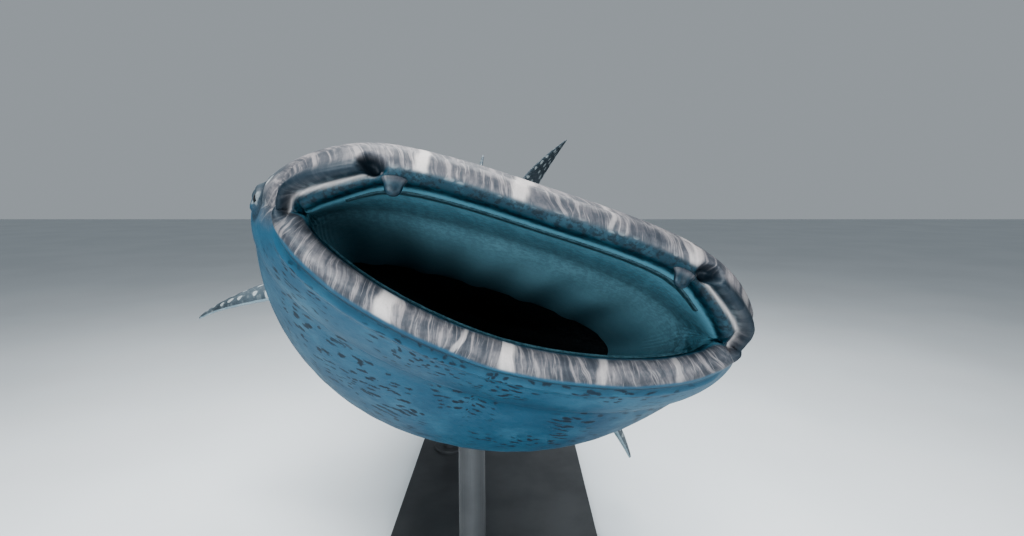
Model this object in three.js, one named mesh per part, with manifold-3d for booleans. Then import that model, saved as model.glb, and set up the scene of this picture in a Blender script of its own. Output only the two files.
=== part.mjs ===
// A life-size whale shark, filter feeding with its mouth wide open, on a low display stand.
//
// Millimetres, +Z up. The snout faces -Y and the tail trails towards +Y. The shark's left is +X.
// The origin is the centre of the underside of the stand's base plate.
//
// Every part of the body is placed in the frame of the spine: s runs tailward from the eyes,
// x to the shark's left and z towards its back.

import * as THREE from "three";
import { mergeVertices } from "three/addons/utils/BufferGeometryUtils.js";
import Module from "manifold-3d";

const wasm = await Module();
wasm.setup();

// Driving dimensions

const TOTAL_LENGTH = 8000;
const UNIT = TOTAL_LENGTH / 8000;
const GAP = 0.35;

const GIRTH_STEPS = 56;

// Pose: where the spine heads, going tailward, in degrees: heading to the shark's left, and climb
const POSE = [
  { s: 0, heading: -9, climb: -12 },
  { s: 1500, heading: -10.5, climb: -9 },
  { s: 3000, heading: -7.7, climb: -6.6 },
  { s: 4200, heading: -5.2, climb: 5.7 },
  { s: 5300, heading: 21.1, climb: 13.8 },
  { s: 6300, heading: 44.1, climb: 8.3 },
];
const BANK = 18.4;
const HEAD_PLACE = new THREE.Vector3(130, -2450, 2160).multiplyScalar(UNIT);

const rad = THREE.MathUtils.degToRad;
const lerp = THREE.MathUtils.lerp;
const ease = THREE.MathUtils.smoothstep;

// Spine: a heading that turns along the body, summed in short steps

const SPINE_STEP = 20 * UNIT;
const SPINE_START = -600 * UNIT;
const SPINE_END = 7600 * UNIT;

function spineAngles(s) {
  return { heading: rad(along(POSE, s, "heading")), climb: rad(along(POSE, s, "climb")), bank: rad(BANK) };
}

function axesAt(s) {
  const { heading, climb, bank } = spineAngles(s);
  const tail = new THREE.Vector3(
    Math.sin(heading) * Math.cos(climb),
    Math.cos(heading) * Math.cos(climb),
    Math.sin(climb),
  );
  const level = new THREE.Vector3(0, 0, 1).cross(tail).normalize().negate();
  const upright = new THREE.Vector3().crossVectors(level, tail);
  const left = level.clone().multiplyScalar(Math.cos(bank)).addScaledVector(upright, -Math.sin(bank));
  const back = upright.multiplyScalar(Math.cos(bank)).addScaledVector(level, Math.sin(bank));
  return { tail, left, back };
}

const spinePoints = (() => {
  const count = Math.round((SPINE_END - SPINE_START) / SPINE_STEP);
  const points = [new THREE.Vector3()];
  for (let i = 0; i < count; i++) {
    const middle = SPINE_START + (i + 0.5) * SPINE_STEP;
    points.push(points[i].clone().addScaledVector(axesAt(middle).tail, SPINE_STEP));
  }
  const atEyes = points[Math.round(-SPINE_START / SPINE_STEP)].clone();
  return points.map((p) => p.sub(atEyes).add(HEAD_PLACE));
})();

function spineAt(s) {
  const place = THREE.MathUtils.clamp((s - SPINE_START) / SPINE_STEP, 0, spinePoints.length - 1.001);
  const i = Math.floor(place);
  return spinePoints[i].clone().lerp(spinePoints[i + 1], place - i);
}

// A point of the body's own frame in the part's frame
function place(s, x, z) {
  const { left, back } = axesAt(s);
  return spineAt(s).addScaledVector(left, x).addScaledVector(back, z);
}

function put(p) {
  return place(p.s, p.x, p.z);
}

// Body sections: half width, height above and depth below the spine, and how square each is

const SECTIONS = [
  { s: 0, wide: 692, above: 198, below: 235, topPower: 1.9, bellyPower: 2.0 },
  { s: 500, wide: 770, above: 288, below: 560, topPower: 2.05, bellyPower: 2.1 },
  { s: 1000, wide: 718, above: 415, below: 655, topPower: 2.1, bellyPower: 2.2 },
  { s: 1600, wide: 680, above: 500, below: 640, topPower: 2.0, bellyPower: 2.3 },
  { s: 2300, wide: 612, above: 548, below: 590, topPower: 2.0, bellyPower: 2.25 },
  { s: 3100, wide: 538, above: 560, below: 535, topPower: 2.0, bellyPower: 2.15 },
  { s: 3900, wide: 426, above: 490, below: 450, topPower: 1.95, bellyPower: 2.1 },
  { s: 4700, wide: 300, above: 355, below: 325, topPower: 1.9, bellyPower: 2.0 },
  { s: 5300, wide: 208, above: 232, below: 215, topPower: 1.85, bellyPower: 1.9 },
  { s: 5700, wide: 168, above: 160, below: 152, topPower: 1.8, bellyPower: 1.8 },
  { s: 6100, wide: 96, above: 118, below: 112, topPower: 1.8, bellyPower: 1.8 },
  { s: 6400, wide: 40, above: 84, below: 80, topPower: 1.8, bellyPower: 1.8 },
];

// Catmull-Rom through the values of a table, at a place along it
function along(table, s, key) {
  const last = table.length - 1;
  let i = 0;
  while (i < last - 1 && s > table[i + 1].s * UNIT) i++;
  const at = (j) => table[THREE.MathUtils.clamp(j, 0, last)];
  const [a, b, c, d] = [at(i - 1), at(i), at(i + 1), at(i + 2)];
  const span = c.s - b.s;
  const t = THREE.MathUtils.clamp((s / UNIT - b.s) / span, 0, 1);
  const slopeB = a === b ? (c[key] - b[key]) / span : (c[key] - a[key]) / (c.s - a.s);
  const slopeC = c === d ? (c[key] - b[key]) / span : (d[key] - b[key]) / (d.s - b.s);
  const t2 = t * t;
  const t3 = t2 * t;
  return (
    (2 * t3 - 3 * t2 + 1) * b[key] +
    (t3 - 2 * t2 + t) * slopeB * span +
    (3 * t2 - 2 * t3) * c[key] +
    (t3 - t2) * slopeC * span
  );
}

// A rounded section: angle 0 is the back's midline, a quarter turn the left side
function oval(angle, wide, above, below, topPower, bellyPower) {
  const up = Math.cos(angle);
  const side = Math.sin(angle);
  const power = 2 / (up >= 0 ? topPower : bellyPower);
  return {
    x: wide * Math.sign(side) * Math.abs(side) ** power,
    z: (up >= 0 ? above : -below) * Math.abs(up) ** power,
  };
}

// Ridges that run down the back and flanks: girth step, height and where each starts and ends
const RIDGES = [
  { step: 0, height: 14, from: 500, to: 3300 },
  { step: 4, height: 20, from: 800, to: 5000 },
  { step: 8, height: 20, from: 900, to: 5400 },
  { step: 12, height: 20, from: 1700, to: 5300 },
  { step: 14, height: 46, from: 4700, to: 6350 },
];

function ridgeHeight(step, s) {
  const fromBack = Math.min(step, GIRTH_STEPS - step);
  const ridge = RIDGES.find((r) => r.step === fromBack);
  if (!ridge) return 0;
  const rise = ease(s, ridge.from * UNIT, (ridge.from + 500) * UNIT);
  return ridge.height * UNIT * rise * (1 - ease(s, (ridge.to - 500) * UNIT, ridge.to * UNIT));
}

function bodySection(s, angle) {
  const size = (key) => along(SECTIONS, s, key);
  return oval(
    angle,
    size("wide") * UNIT,
    size("above") * UNIT,
    size("below") * UNIT,
    size("topPower"),
    size("bellyPower"),
  );
}

function bodyPoint(s, step) {
  const { x, z } = bodySection(s, (step / GIRTH_STEPS) * 2 * Math.PI);
  const out = 1 + ridgeHeight(step, s) / Math.hypot(x, z);
  return place(s, x * out, z * out);
}

// Mouth: the line down the middle of the rolled lips, seen from the front and from above

const LIP = {
  wide: 566,
  above: 201,
  below: 187,
  level: -25,
  topPower: 2.3,
  bellyPower: 1.75,
  cornerS: -90,
  upperS: -240,
  lowerS: -100,
  upperPlan: 2.8,
  lowerPlan: 2.3,
  upperRoll: 37,
  lowerRoll: 39,
  cornerRoll: 34,
  dip: 38,
  dipHalf: 410,
  brow: 12,
  browX: 430,
  browHalf: 100,
  swell: 15,
  drop: 26,
  swellX: 490,
  swellHalf: 110,
};

function lipLine(angle) {
  const { x, z } = oval(angle, LIP.wide, LIP.above, LIP.below, LIP.topPower, LIP.bellyPower);
  const upper = Math.cos(angle) >= 0;
  const plan = upper ? LIP.upperPlan : LIP.lowerPlan;
  const front = (upper ? LIP.upperS : LIP.lowerS) - LIP.cornerS;
  const reach = (1 - Math.min(1, Math.abs(x) / LIP.wide) ** plan) ** (1 / plan);
  const roll = lerp(LIP.cornerRoll, upper ? LIP.upperRoll : LIP.lowerRoll, ease(reach, 0, 0.75));
  const above = ease(Math.cos(angle), 0, 0.35);
  const brow = LIP.brow * above * Math.exp(-(((Math.abs(x) - LIP.browX) / LIP.browHalf) ** 2));
  const swell = above * Math.exp(-(((Math.abs(x) - LIP.swellX) / LIP.swellHalf) ** 2));
  const dip = LIP.dip * above * Math.exp(-((x / LIP.dipHalf) ** 2));
  return {
    x: x * UNIT,
    z: (z + LIP.level + brow - dip - LIP.drop * swell) * UNIT,
    s: (LIP.cornerS + front * reach) * UNIT,
    roll: (roll + LIP.swell * swell) * UNIT,
  };
}

// The lip line with the direction that points away from the mouth
function lipAt(angle) {
  const here = lipLine(angle);
  const before = lipLine(angle - 0.02);
  const after = lipLine(angle + 0.02);
  const outX = after.z - before.z;
  const outZ = before.x - after.x;
  const size = Math.hypot(outX, outZ);
  return { ...here, outX: -outX / size, outZ: -outZ / size };
}

// A place on the roll of the lip: turn 0 faces away from the mouth, a half turn into it
function lipPoint(lip, turn) {
  const out = Math.cos(turn) * lip.roll;
  return { s: lip.s - Math.sin(turn) * lip.roll, x: lip.x + lip.outX * out, z: lip.z + lip.outZ * out };
}

// Inside of the mouth: sections of the hollow, from behind the lips to the gullet
const HOLLOW = [
  { s: 110, wide: 545, above: 140, below: 240, level: -42, power: 2.5 },
  { s: 330, wide: 555, above: 120, below: 290, level: -75, power: 2.4 },
  { s: 640, wide: 530, above: 100, below: 310, level: -120, power: 2.3 },
  { s: 940, wide: 440, above: 85, below: 260, level: -150, power: 2.2 },
  { s: 1180, wide: 250, above: 60, below: 120, level: -180, power: 2.0 },
];

function hollowPoint(s, angle) {
  const size = (key) => along(HOLLOW, s, key);
  const { x, z } = oval(angle, size("wide"), size("above"), size("below"), size("power"), size("power"));
  return { s, x: x * UNIT, z: (z + size("level")) * UNIT };
}

// Cubic from a to b that leaves a with one slope and reaches b with another
function bridge(a, leave, b, arrive, t) {
  const t2 = t * t;
  const t3 = t2 * t;
  const mix = (key) =>
    (2 * t3 - 3 * t2 + 1) * a[key] +
    (t3 - 2 * t2 + t) * leave[key] +
    (3 * t2 - 2 * t3) * b[key] +
    (t3 - t2) * arrive[key];
  return { s: mix("s"), x: mix("x"), z: mix("z") };
}

// Rings of the whole skin, from the tail's end forward to the lips, then back down the throat
const OUTER_S = [
  6250, 6100, 5900, 5700, 5450, 5200, 4900, 4600, 4250, 3900, 3550, 3200, 2850, 2500, 2150, 1800,
  1500, 1200, 950, 700, 480, 300, 160,
];
const CHEEK_STEPS = 4;
const ROLL_STEPS = 5;
const BROW_S = 160 * UNIT;

const THROAT_S = [110, 220, 330, 480, 640, 800, 940, 1070, 1180];

// The cheek and snout, from the brow ring (share 0) to the outside of the lip (share 1)
function cheekPoint(angle, share, lip = lipAt(angle)) {
  const brow = { s: BROW_S, ...bodySection(BROW_S, angle) };
  const end = lipPoint(lip, 0);
  const run = Math.hypot(brow.s - end.s, brow.x - end.x, brow.z - end.z);
  const leave = { s: -run, x: 0, z: 0 };
  const arrive = { s: -run * 0.75, x: -lip.outX * run * 0.45, z: -lip.outZ * run * 0.45 };
  return bridge(brow, leave, end, arrive, share);
}

// The strip between the inside of the lip (share 0) and the hollow of the mouth (share 1)
function gumPoint(angle, share, lip = lipAt(angle)) {
  const leave = { s: 120 * UNIT, x: 0, z: 0 };
  return bridge(lipPoint(lip, Math.PI), leave, hollowPoint(THROAT_S[0] * UNIT, angle), leave, share);
}

function skinRings() {
  const angles = Array.from({ length: GIRTH_STEPS }, (_, i) => (i / GIRTH_STEPS) * 2 * Math.PI);
  const rings = OUTER_S.map((s) => angles.map((_, i) => bodyPoint(s * UNIT, i)));
  const ring = (at) => rings.push(angles.map((angle) => put(at(angle))));
  for (let k = 1; k <= CHEEK_STEPS; k++) ring((angle) => cheekPoint(angle, k / CHEEK_STEPS));
  for (let k = 1; k <= ROLL_STEPS; k++) ring((angle) => lipPoint(lipAt(angle), (k / ROLL_STEPS) * Math.PI));
  ring((angle) => gumPoint(angle, 0.5));
  for (const s of THROAT_S) ring((angle) => hollowPoint(s * UNIT, angle));
  return rings;
}

// Meshes

// Closed mesh through rings of the same count, with a point in the middle of each end
function loft(rings) {
  const count = rings[0].length;
  const points = rings.flat();
  const faces = [];
  for (let j = 0; j < rings.length - 1; j++) {
    for (let i = 0; i < count; i++) {
      const a = j * count + i;
      const b = j * count + ((i + 1) % count);
      faces.push(a, b, b + count, a, b + count, a + count);
    }
  }
  for (const [start, flip] of [
    [0, true],
    [(rings.length - 1) * count, false],
  ]) {
    const middle = points.slice(start, start + count).reduce((m, p) => m.add(p), new THREE.Vector3());
    const tip = points.push(middle.divideScalar(count)) - 1;
    for (let i = 0; i < count; i++) {
      const a = start + i;
      const b = start + ((i + 1) % count);
      faces.push(...(flip ? [b, a, tip] : [a, b, tip]));
    }
  }
  const geometry = new THREE.BufferGeometry().setFromPoints(points);
  geometry.setIndex(faces);
  return geometry;
}

function signedVolume(geometry) {
  const { position } = geometry.attributes;
  const at = (i) => new THREE.Vector3().fromBufferAttribute(position, geometry.index.getX(i));
  let volume = 0;
  for (let i = 0; i < geometry.index.count; i += 3) volume += at(i).dot(at(i + 1).cross(at(i + 2))) / 6;
  return volume;
}

// Corners merged and every face turned outwards
function tidy(geometry) {
  const bare = geometry.clone();
  bare.deleteAttribute("normal");
  bare.deleteAttribute("uv");
  const merged = mergeVertices(bare, 1e-3);
  if (signedVolume(merged) < 0) merged.setIndex(Array.from(merged.index.array).reverse());
  return merged;
}

function solid(geometry) {
  const { index, attributes } = tidy(geometry);
  const vertProperties = Float32Array.from(attributes.position.array);
  const triVerts = Uint32Array.from(index.array);
  return new wasm.Manifold(new wasm.Mesh({ numProp: 3, vertProperties, triVerts }));
}

// The same closed shape with its surface moved out by a distance
function grown(geometry, distance) {
  const copy = tidy(geometry);
  copy.computeVertexNormals();
  const { position, normal } = copy.attributes;
  const point = new THREE.Vector3();
  const way = new THREE.Vector3();
  for (let i = 0; i < position.count; i++) {
    way.fromBufferAttribute(normal, i);
    point.fromBufferAttribute(position, i).addScaledVector(way, distance);
    position.setXYZ(i, point.x, point.y, point.z);
  }
  return solid(copy);
}

function geometryOf(body) {
  const mesh = body.getMesh();
  const points = new Float32Array(mesh.numVert * 3);
  for (let i = 0; i < mesh.numVert; i++) {
    points.set(mesh.vertProperties.subarray(i * mesh.numProp, i * mesh.numProp + 3), i * 3);
  }
  const geometry = new THREE.BufferGeometry();
  geometry.setAttribute("position", new THREE.BufferAttribute(points, 3));
  geometry.setIndex(new THREE.BufferAttribute(Uint32Array.from(mesh.triVerts), 1));
  geometry.computeVertexNormals();
  return geometry;
}

function largest(body) {
  return body.decompose().reduce((best, piece) => (piece.volume() > best.volume() ? piece : best));
}

// The mean point of a solid's corners
function middleOf(body) {
  const mesh = body.getMesh();
  const sum = new THREE.Vector3();
  for (let i = 0; i < mesh.numVert; i++) {
    sum.add(new THREE.Vector3().fromArray(mesh.vertProperties, i * mesh.numProp));
  }
  return sum.divideScalar(mesh.numVert);
}

// A thin plate across the body at s, which parts it when it is taken away
function partingPlate(s, size) {
  const { tail, left, back } = axesAt(s);
  const plate = new THREE.BoxGeometry(size, size, GAP);
  plate.applyMatrix4(new THREE.Matrix4().makeBasis(left, back, tail).setPosition(spineAt(s)));
  return solid(plate);
}

const PARTINGS = { gills: 700, middle: 1780, rear: 3150, stalk: 4720 };
const JAW_PARTING_LEVEL = -62 * UNIT;

// The plate that parts the upper head from the lower jaw, through the corners of the mouth
function jawPlate() {
  const { tail, left, back } = axesAt(0);
  const plate = new THREE.BoxGeometry(2400 * UNIT, 2400 * UNIT, GAP);
  const middle = place(0, 0, JAW_PARTING_LEVEL);
  plate.applyMatrix4(new THREE.Matrix4().makeBasis(left, tail, back).setPosition(middle));
  return solid(plate);
}

// Gill flaps: each is a low curved plate that rises towards its free rear edge

const GILLS = {
  count: 5,
  firstS: 880,
  lastS: 1640,
  length: 150,
  bow: 55,
  firstTop: 62,
  firstBottom: 122,
  lastTop: 74,
  lastBottom: 97,
  rise: 26,
  root: 40,
};

function gillFlap(index, side) {
  const share = index / (GILLS.count - 1);
  const rear = lerp(GILLS.firstS, GILLS.lastS, share) * UNIT;
  const top = rad(lerp(GILLS.firstTop, GILLS.lastTop, share));
  const bottom = rad(lerp(GILLS.firstBottom, GILLS.lastBottom, share));
  const acrossSteps = 8;
  const rings = [];
  for (let i = 0; i <= acrossSteps; i++) {
    const t = i / acrossSteps;
    const angle = lerp(top, bottom, t) * side;
    const swell = Math.sin(Math.PI * t) ** 0.6;
    const edge = rear + GILLS.bow * UNIT * Math.sin(Math.PI * t);
    const raise = (s, lift) => {
      const { x, z } = bodySection(s, angle);
      const out = 1 + (lift * UNIT) / Math.hypot(x, z);
      return place(s, x * out, z * out);
    };
    const front = edge - GILLS.length * UNIT;
    const profile = [
      raise(front, -GILLS.root * 0.4),
      raise(lerp(front, edge, 0.5), GILLS.rise * 0.45 * swell),
      raise(edge, GILLS.rise * swell + 1),
      raise(edge, -GILLS.root),
      raise(front, -GILLS.root),
    ];
    rings.push(side > 0 ? profile : profile.reverse());
  }
  return solid(loft(rings));
}

// Fins

// Chord places and half thicknesses of a fin: a round leading edge and a fine trailing edge
const FIN_CHORD = [0, 0.05, 0.2, 0.42, 0.7, 0.96];

function finThickness(c) {
  const full = 0.2969 * Math.sqrt(c) - 0.126 * c - 0.3516 * c ** 2 + 0.2843 * c ** 3 - 0.1015 * c ** 4;
  return full / 0.1;
}

const upperFace = FIN_CHORD.map((c) => [c, finThickness(c)]);
const lowerFace = upperFace.slice(1).map(([c, t]) => [c, -t]);
const FIN_SECTION = [...upperFace, ...lowerFace.reverse()];

// A fin that grows from a root point. reach is the way to its tip, trail the way its chord runs and
// face the way it is thick. sweep is how far its tip lies behind the front of its root, curl how far
// it bends, sink how deep its root goes, and waist and lean shape its trailing edge.
function fin({ root, reach, trail, face, ...shape }) {
  const { span, chord, sweep, thick, sink, curl = 0, waist = 1.6, lean = 0.62 } = shape;
  const stations = [-sink / span, 0, 0.14, 0.3, 0.46, 0.62, 0.76, 0.88, 0.955, 0.99];
  const rings = stations.map((v) => {
    const w = Math.max(v, 0);
    const lead = sweep * w ** 1.25;
    const trailing = chord + (sweep + chord * 0.1 - chord) * w ** lean;
    const narrow = Math.sqrt(Math.max(0, 1 - w ** 6));
    const full = Math.max((trailing - lead) * narrow, chord * 0.03);
    const middle = (lead + trailing) / 2 - chord * 0.12 * Math.sin(Math.PI * w) ** waist;
    const start = middle - full / 2;
    const flesh = Math.max((thick / 2) * (1 - w * 0.72) * (0.35 + 0.65 * narrow), 5 * UNIT);
    const bend = curl * w * w * span;
    return FIN_SECTION.map(([c, t]) =>
      root
        .clone()
        .addScaledVector(reach, v * span)
        .addScaledVector(trail, start + c * full)
        .addScaledVector(face, t * flesh + bend),
    );
  });
  return solid(loft(rings));
}

// The directions of the body's frame at s, turned about the tailward line and swept
function finAxes(s, outward, pitch = 0) {
  const { tail, left, back } = axesAt(s);
  const reach = left.clone().multiplyScalar(Math.sin(outward)).addScaledVector(back, Math.cos(outward));
  const trail = tail.clone().applyAxisAngle(reach, pitch);
  return { reach, trail, face: new THREE.Vector3().crossVectors(trail, reach).normalize() };
}

function bodyFin({ s, angle, outward, pitch = 0, inset, ...shape }) {
  const { x, z } = bodySection(s * UNIT, rad(angle));
  const in_ = 1 - (inset * UNIT) / Math.hypot(x, z);
  return fin({
    root: place(s * UNIT, x * in_, z * in_),
    ...finAxes(s * UNIT, rad(outward), rad(pitch)),
    ...shape,
  });
}

// Colours

const skinGrey = new THREE.MeshStandardMaterial({ color: 0x5d6a75, roughness: 0.55, metalness: 0 });
const bellyPale = new THREE.MeshStandardMaterial({ color: 0xc9d2d6, roughness: 0.55, metalness: 0 });
const finGrey = new THREE.MeshStandardMaterial({ color: 0x4f5d69, roughness: 0.55, metalness: 0 });
const eyeDark = new THREE.MeshStandardMaterial({ color: 0x0b0d10, roughness: 0.12, metalness: 0 });
const padBlack = new THREE.MeshStandardMaterial({ color: 0x0d1114, roughness: 0.7, metalness: 0 });
const toothBone = new THREE.MeshStandardMaterial({ color: 0x4e5a5e, roughness: 0.5, metalness: 0 });
const standSteel = new THREE.MeshStandardMaterial({ color: 0x3a3d40, roughness: 0.4, metalness: 0.7 });

const shark = new THREE.Group();

function add(name, body, material) {
  const mesh = new THREE.Mesh(geometryOf(largest(body)), material);
  mesh.name = name;
  shark.add(mesh);
}

// Body and head

const skinGeometry = loft(skinRings());
const skinGrown = grown(skinGeometry, GAP);
let whole = solid(skinGeometry);
for (const s of Object.values(PARTINGS)) whole = whole.subtract(partingPlate(s * UNIT, 2600 * UNIT));

// The lengths of the body, from the snout to the tail's end
const lengths = whole
  .decompose()
  .map((piece) => ({ piece, middle: middleOf(piece) }))
  .sort((a, b) => a.middle.y - b.middle.y)
  .map(({ piece }) => piece);
const [front, gillLength, middleLength, rearLength, stalk] = lengths;
const back = axesAt(0).back;
let [jaw, head] = front
  .subtract(jawPlate())
  .decompose()
  .sort((a, b) => middleOf(a).dot(back) - middleOf(b).dot(back));

// Eyes: balls set in sockets low on the sides of the head, just behind the corners of the mouth
const EYE = { angle: 89, share: 0.4, radius: 26, proud: 7 };
for (const [name, side] of [
  ["eye_left", 1],
  ["eye_right", -1],
]) {
  const socket = cheekPoint(rad(EYE.angle) * side, EYE.share);
  const centre = put({ ...socket, x: socket.x - side * (EYE.radius - EYE.proud) * UNIT });
  const ball = (radius) => {
    const shape = new THREE.SphereGeometry(radius, 16, 10);
    shape.translate(centre.x, centre.y, centre.z);
    return solid(shape);
  };
  head = head.subtract(ball(EYE.radius * UNIT + GAP));
  add(name, ball(EYE.radius * UNIT), eyeDark);
}

// A tube of one radius through a row of points
function tube(points, radius, sides = 8) {
  const rings = points.map((p, i) => {
    const ahead = points[Math.min(i + 1, points.length - 1)];
    const behind = points[Math.max(i - 1, 0)];
    const way = ahead.clone().sub(behind).normalize();
    const across = new THREE.Vector3(0.3, -0.2, 1).cross(way).normalize();
    const third = new THREE.Vector3().crossVectors(way, across);
    return Array.from({ length: sides }, (_, k) => {
      const turn = (k / sides) * 2 * Math.PI;
      return p
        .clone()
        .addScaledVector(across, Math.cos(turn) * radius)
        .addScaledVector(third, Math.sin(turn) * radius);
    });
  });
  return solid(loft(rings));
}

// Nostrils, and the furrow that runs from each along the upper lip's roll to the mouth's corner
const FURROW = { from: 42, to: 97, steps: 12, startTurn: 100, endTurn: 60, deep: 17, nostril: 27 };
for (const side of [1, -1]) {
  const path = Array.from({ length: FURROW.steps + 1 }, (_, i) => {
    const share = i / FURROW.steps;
    const lip = lipAt(rad(lerp(FURROW.from, FURROW.to, share)) * side);
    return put(lipPoint(lip, rad(lerp(FURROW.startTurn, FURROW.endTurn, share))));
  });
  head = head.subtract(tube(path, FURROW.deep * UNIT));
  const pit = new THREE.SphereGeometry(FURROW.nostril * UNIT, 12, 8);
  pit.translate(path[0].x, path[0].y, path[0].z);
  head = head.subtract(solid(pit));
}
add("head", head, skinGrey);
add("lower_jaw", jaw, bellyPale);

// Nasal flaps: a fleshy tongue under the upper lip, inward of each nostril
const FLAP = { angle: 35, wide: 46, thick: 16, length: 62, forward: 0.35 };
for (const [name, side] of [
  ["nasal_flap_left", 1],
  ["nasal_flap_right", -1],
]) {
  const lip = lipAt(rad(FLAP.angle) * side);
  const root = lipPoint(lip, rad(150));
  const rings = [-0.35, 0, 0.3, 0.6, 0.85, 1].map((t) => {
    const down = t * FLAP.length * UNIT;
    const centre = put({
      s: root.s - down * FLAP.forward * (1 - Math.max(t, 0)),
      x: root.x - lip.outX * down * 0.9,
      z: root.z - lip.outZ * down * 0.9,
    });
    const { tail, left, back: up } = axesAt(root.s);
    const across = left.clone().multiplyScalar(-lip.outZ * side).addScaledVector(up, lip.outX * side);
    const round = Math.sqrt(1 - (Math.max(t, 0) * 0.9) ** 3);
    return Array.from({ length: 8 }, (_, k) => {
      const turn = (k / 8) * 2 * Math.PI;
      return centre
        .clone()
        .addScaledVector(across, (Math.cos(turn) * FLAP.wide * UNIT * round) / 2)
        .addScaledVector(tail, (Math.sin(turn) * FLAP.thick * UNIT * (0.6 + 0.4 * round)) / 2);
    });
  });
  add(name, solid(loft(rings)).subtract(skinGrown), skinGrey);
}

// Tooth bands: low ridges of tiny teeth behind the upper lip and along the inside of the lower one
const TOOTH_BANDS = {
  tooth_band_upper: { middle: 0, half: 54, near: 0.2, far: 0.32 },
  tooth_band_lower: { middle: 180, half: 62, near: 0.02, far: 0.14 },
};
const TOOTH_BAND = { steps: 16, proud: 6, root: 12, bevel: 0.03 };
for (const [name, { middle, half, near, far }] of Object.entries(TOOTH_BANDS)) {
  const rings = Array.from({ length: TOOTH_BAND.steps + 1 }, (_, i) => {
    const angle = rad(middle + lerp(-half, half, i / TOOTH_BAND.steps));
    const lip = lipAt(angle);
    const off = (share, height) => {
      const p = gumPoint(angle, share, lip);
      return put({ s: p.s, x: p.x - lip.outX * height * UNIT, z: p.z - lip.outZ * height * UNIT });
    };
    const { proud, root, bevel } = TOOTH_BAND;
    return [
      off(near, 0),
      off(near + bevel, proud),
      off(far - bevel, proud),
      off(far, 0),
      off(far, -root),
      off(near, -root),
    ];
  });
  add(name, solid(loft(rings)).subtract(skinGrown), toothBone);
}

// Filter pads: they fill the back of the mouth, and their faces meet in a deep valley
const PADS = { from: 640, valley: 330, valleyLevel: -150 };
const padRings = THROAT_S.filter((s) => s >= PADS.from).map((s) =>
  Array.from({ length: GIRTH_STEPS }, (_, i) => put(hollowPoint(s * UNIT, (i / GIRTH_STEPS) * 2 * Math.PI))),
);
for (const share of [0.3, 0.6, 0.85]) {
  const depth = (PADS.from + PADS.valley * share ** 1.3) * UNIT;
  padRings.unshift(
    Array.from({ length: GIRTH_STEPS }, (_, i) => {
      const rim = hollowPoint(PADS.from * UNIT, (i / GIRTH_STEPS) * 2 * Math.PI);
      return put({ s: depth, x: rim.x * (1 - share), z: lerp(rim.z, PADS.valleyLevel * UNIT, share) });
    }),
  );
}
add("filter_pads", grown(loft(padRings), -GAP), padBlack);

const flaps = [1, -1].flatMap((side) => Array.from({ length: GILLS.count }, (_, i) => gillFlap(i, side)));
const gillRegion = flaps.reduce((body, flap) => body.add(flap), gillLength);
add("gill_region", gillRegion.subtract(partingPlate(PARTINGS.middle * UNIT, 2600 * UNIT)), skinGrey);
add("body_middle", middleLength, skinGrey);
add("body_rear", rearLength, skinGrey);
add("tail_stalk", stalk, skinGrey);

// Fins, each cut clear of the skin it grows from
const addFin = (name, shape) => add(name, shape.subtract(skinGrown), finGrey);

const PECTORAL = { s: 1455, angle: 107, inset: 40, span: 1050, chord: 566, thick: 110, sink: 160 };
for (const [name, { side, droop, pitch, sweep, curl }] of Object.entries({
  pectoral_fin_left: { side: 1, droop: 129, pitch: 16, sweep: 755, curl: 0.12 },
  pectoral_fin_right: { side: -1, droop: 118, pitch: 11.4, sweep: 1209, curl: 0.25 },
})) {
  addFin(
    name,
    bodyFin({
      s: PECTORAL.s,
      angle: side * PECTORAL.angle,
      outward: side * droop,
      pitch: side * pitch,
      inset: PECTORAL.inset,
      span: PECTORAL.span * UNIT,
      chord: PECTORAL.chord * UNIT,
      sweep: sweep * UNIT,
      thick: PECTORAL.thick * UNIT,
      curl: side * curl,
      sink: PECTORAL.sink * UNIT,
    }),
  );
}
for (const [name, side] of [
  ["pelvic_fin_left", 1],
  ["pelvic_fin_right", -1],
]) {
  addFin(
    name,
    bodyFin({
      s: 3780,
      angle: side * 142,
      outward: side * 138,
      inset: 20,
      span: 300 * UNIT,
      chord: 330 * UNIT,
      sweep: 240 * UNIT,
      thick: 46 * UNIT,
      sink: 80 * UNIT,
    }),
  );
}
const MEDIAN_FINS = {
  dorsal_fin_first: { s: 3420, angle: 0, span: 623, chord: 720, sweep: 586, thick: 92, sink: 120 },
  dorsal_fin_second: { s: 4960, angle: 0, span: 225, chord: 300, sweep: 210, thick: 40, sink: 60 },
  anal_fin: { s: 5040, angle: 180, span: 210, chord: 270, sweep: 210, thick: 36, sink: 60 },
};
for (const [name, { s, angle, ...sizes }] of Object.entries(MEDIAN_FINS)) {
  const scaled = Object.fromEntries(Object.entries(sizes).map(([key, value]) => [key, value * UNIT]));
  addFin(name, bodyFin({ s, angle, outward: angle, inset: 10, ...scaled }));
}

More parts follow.
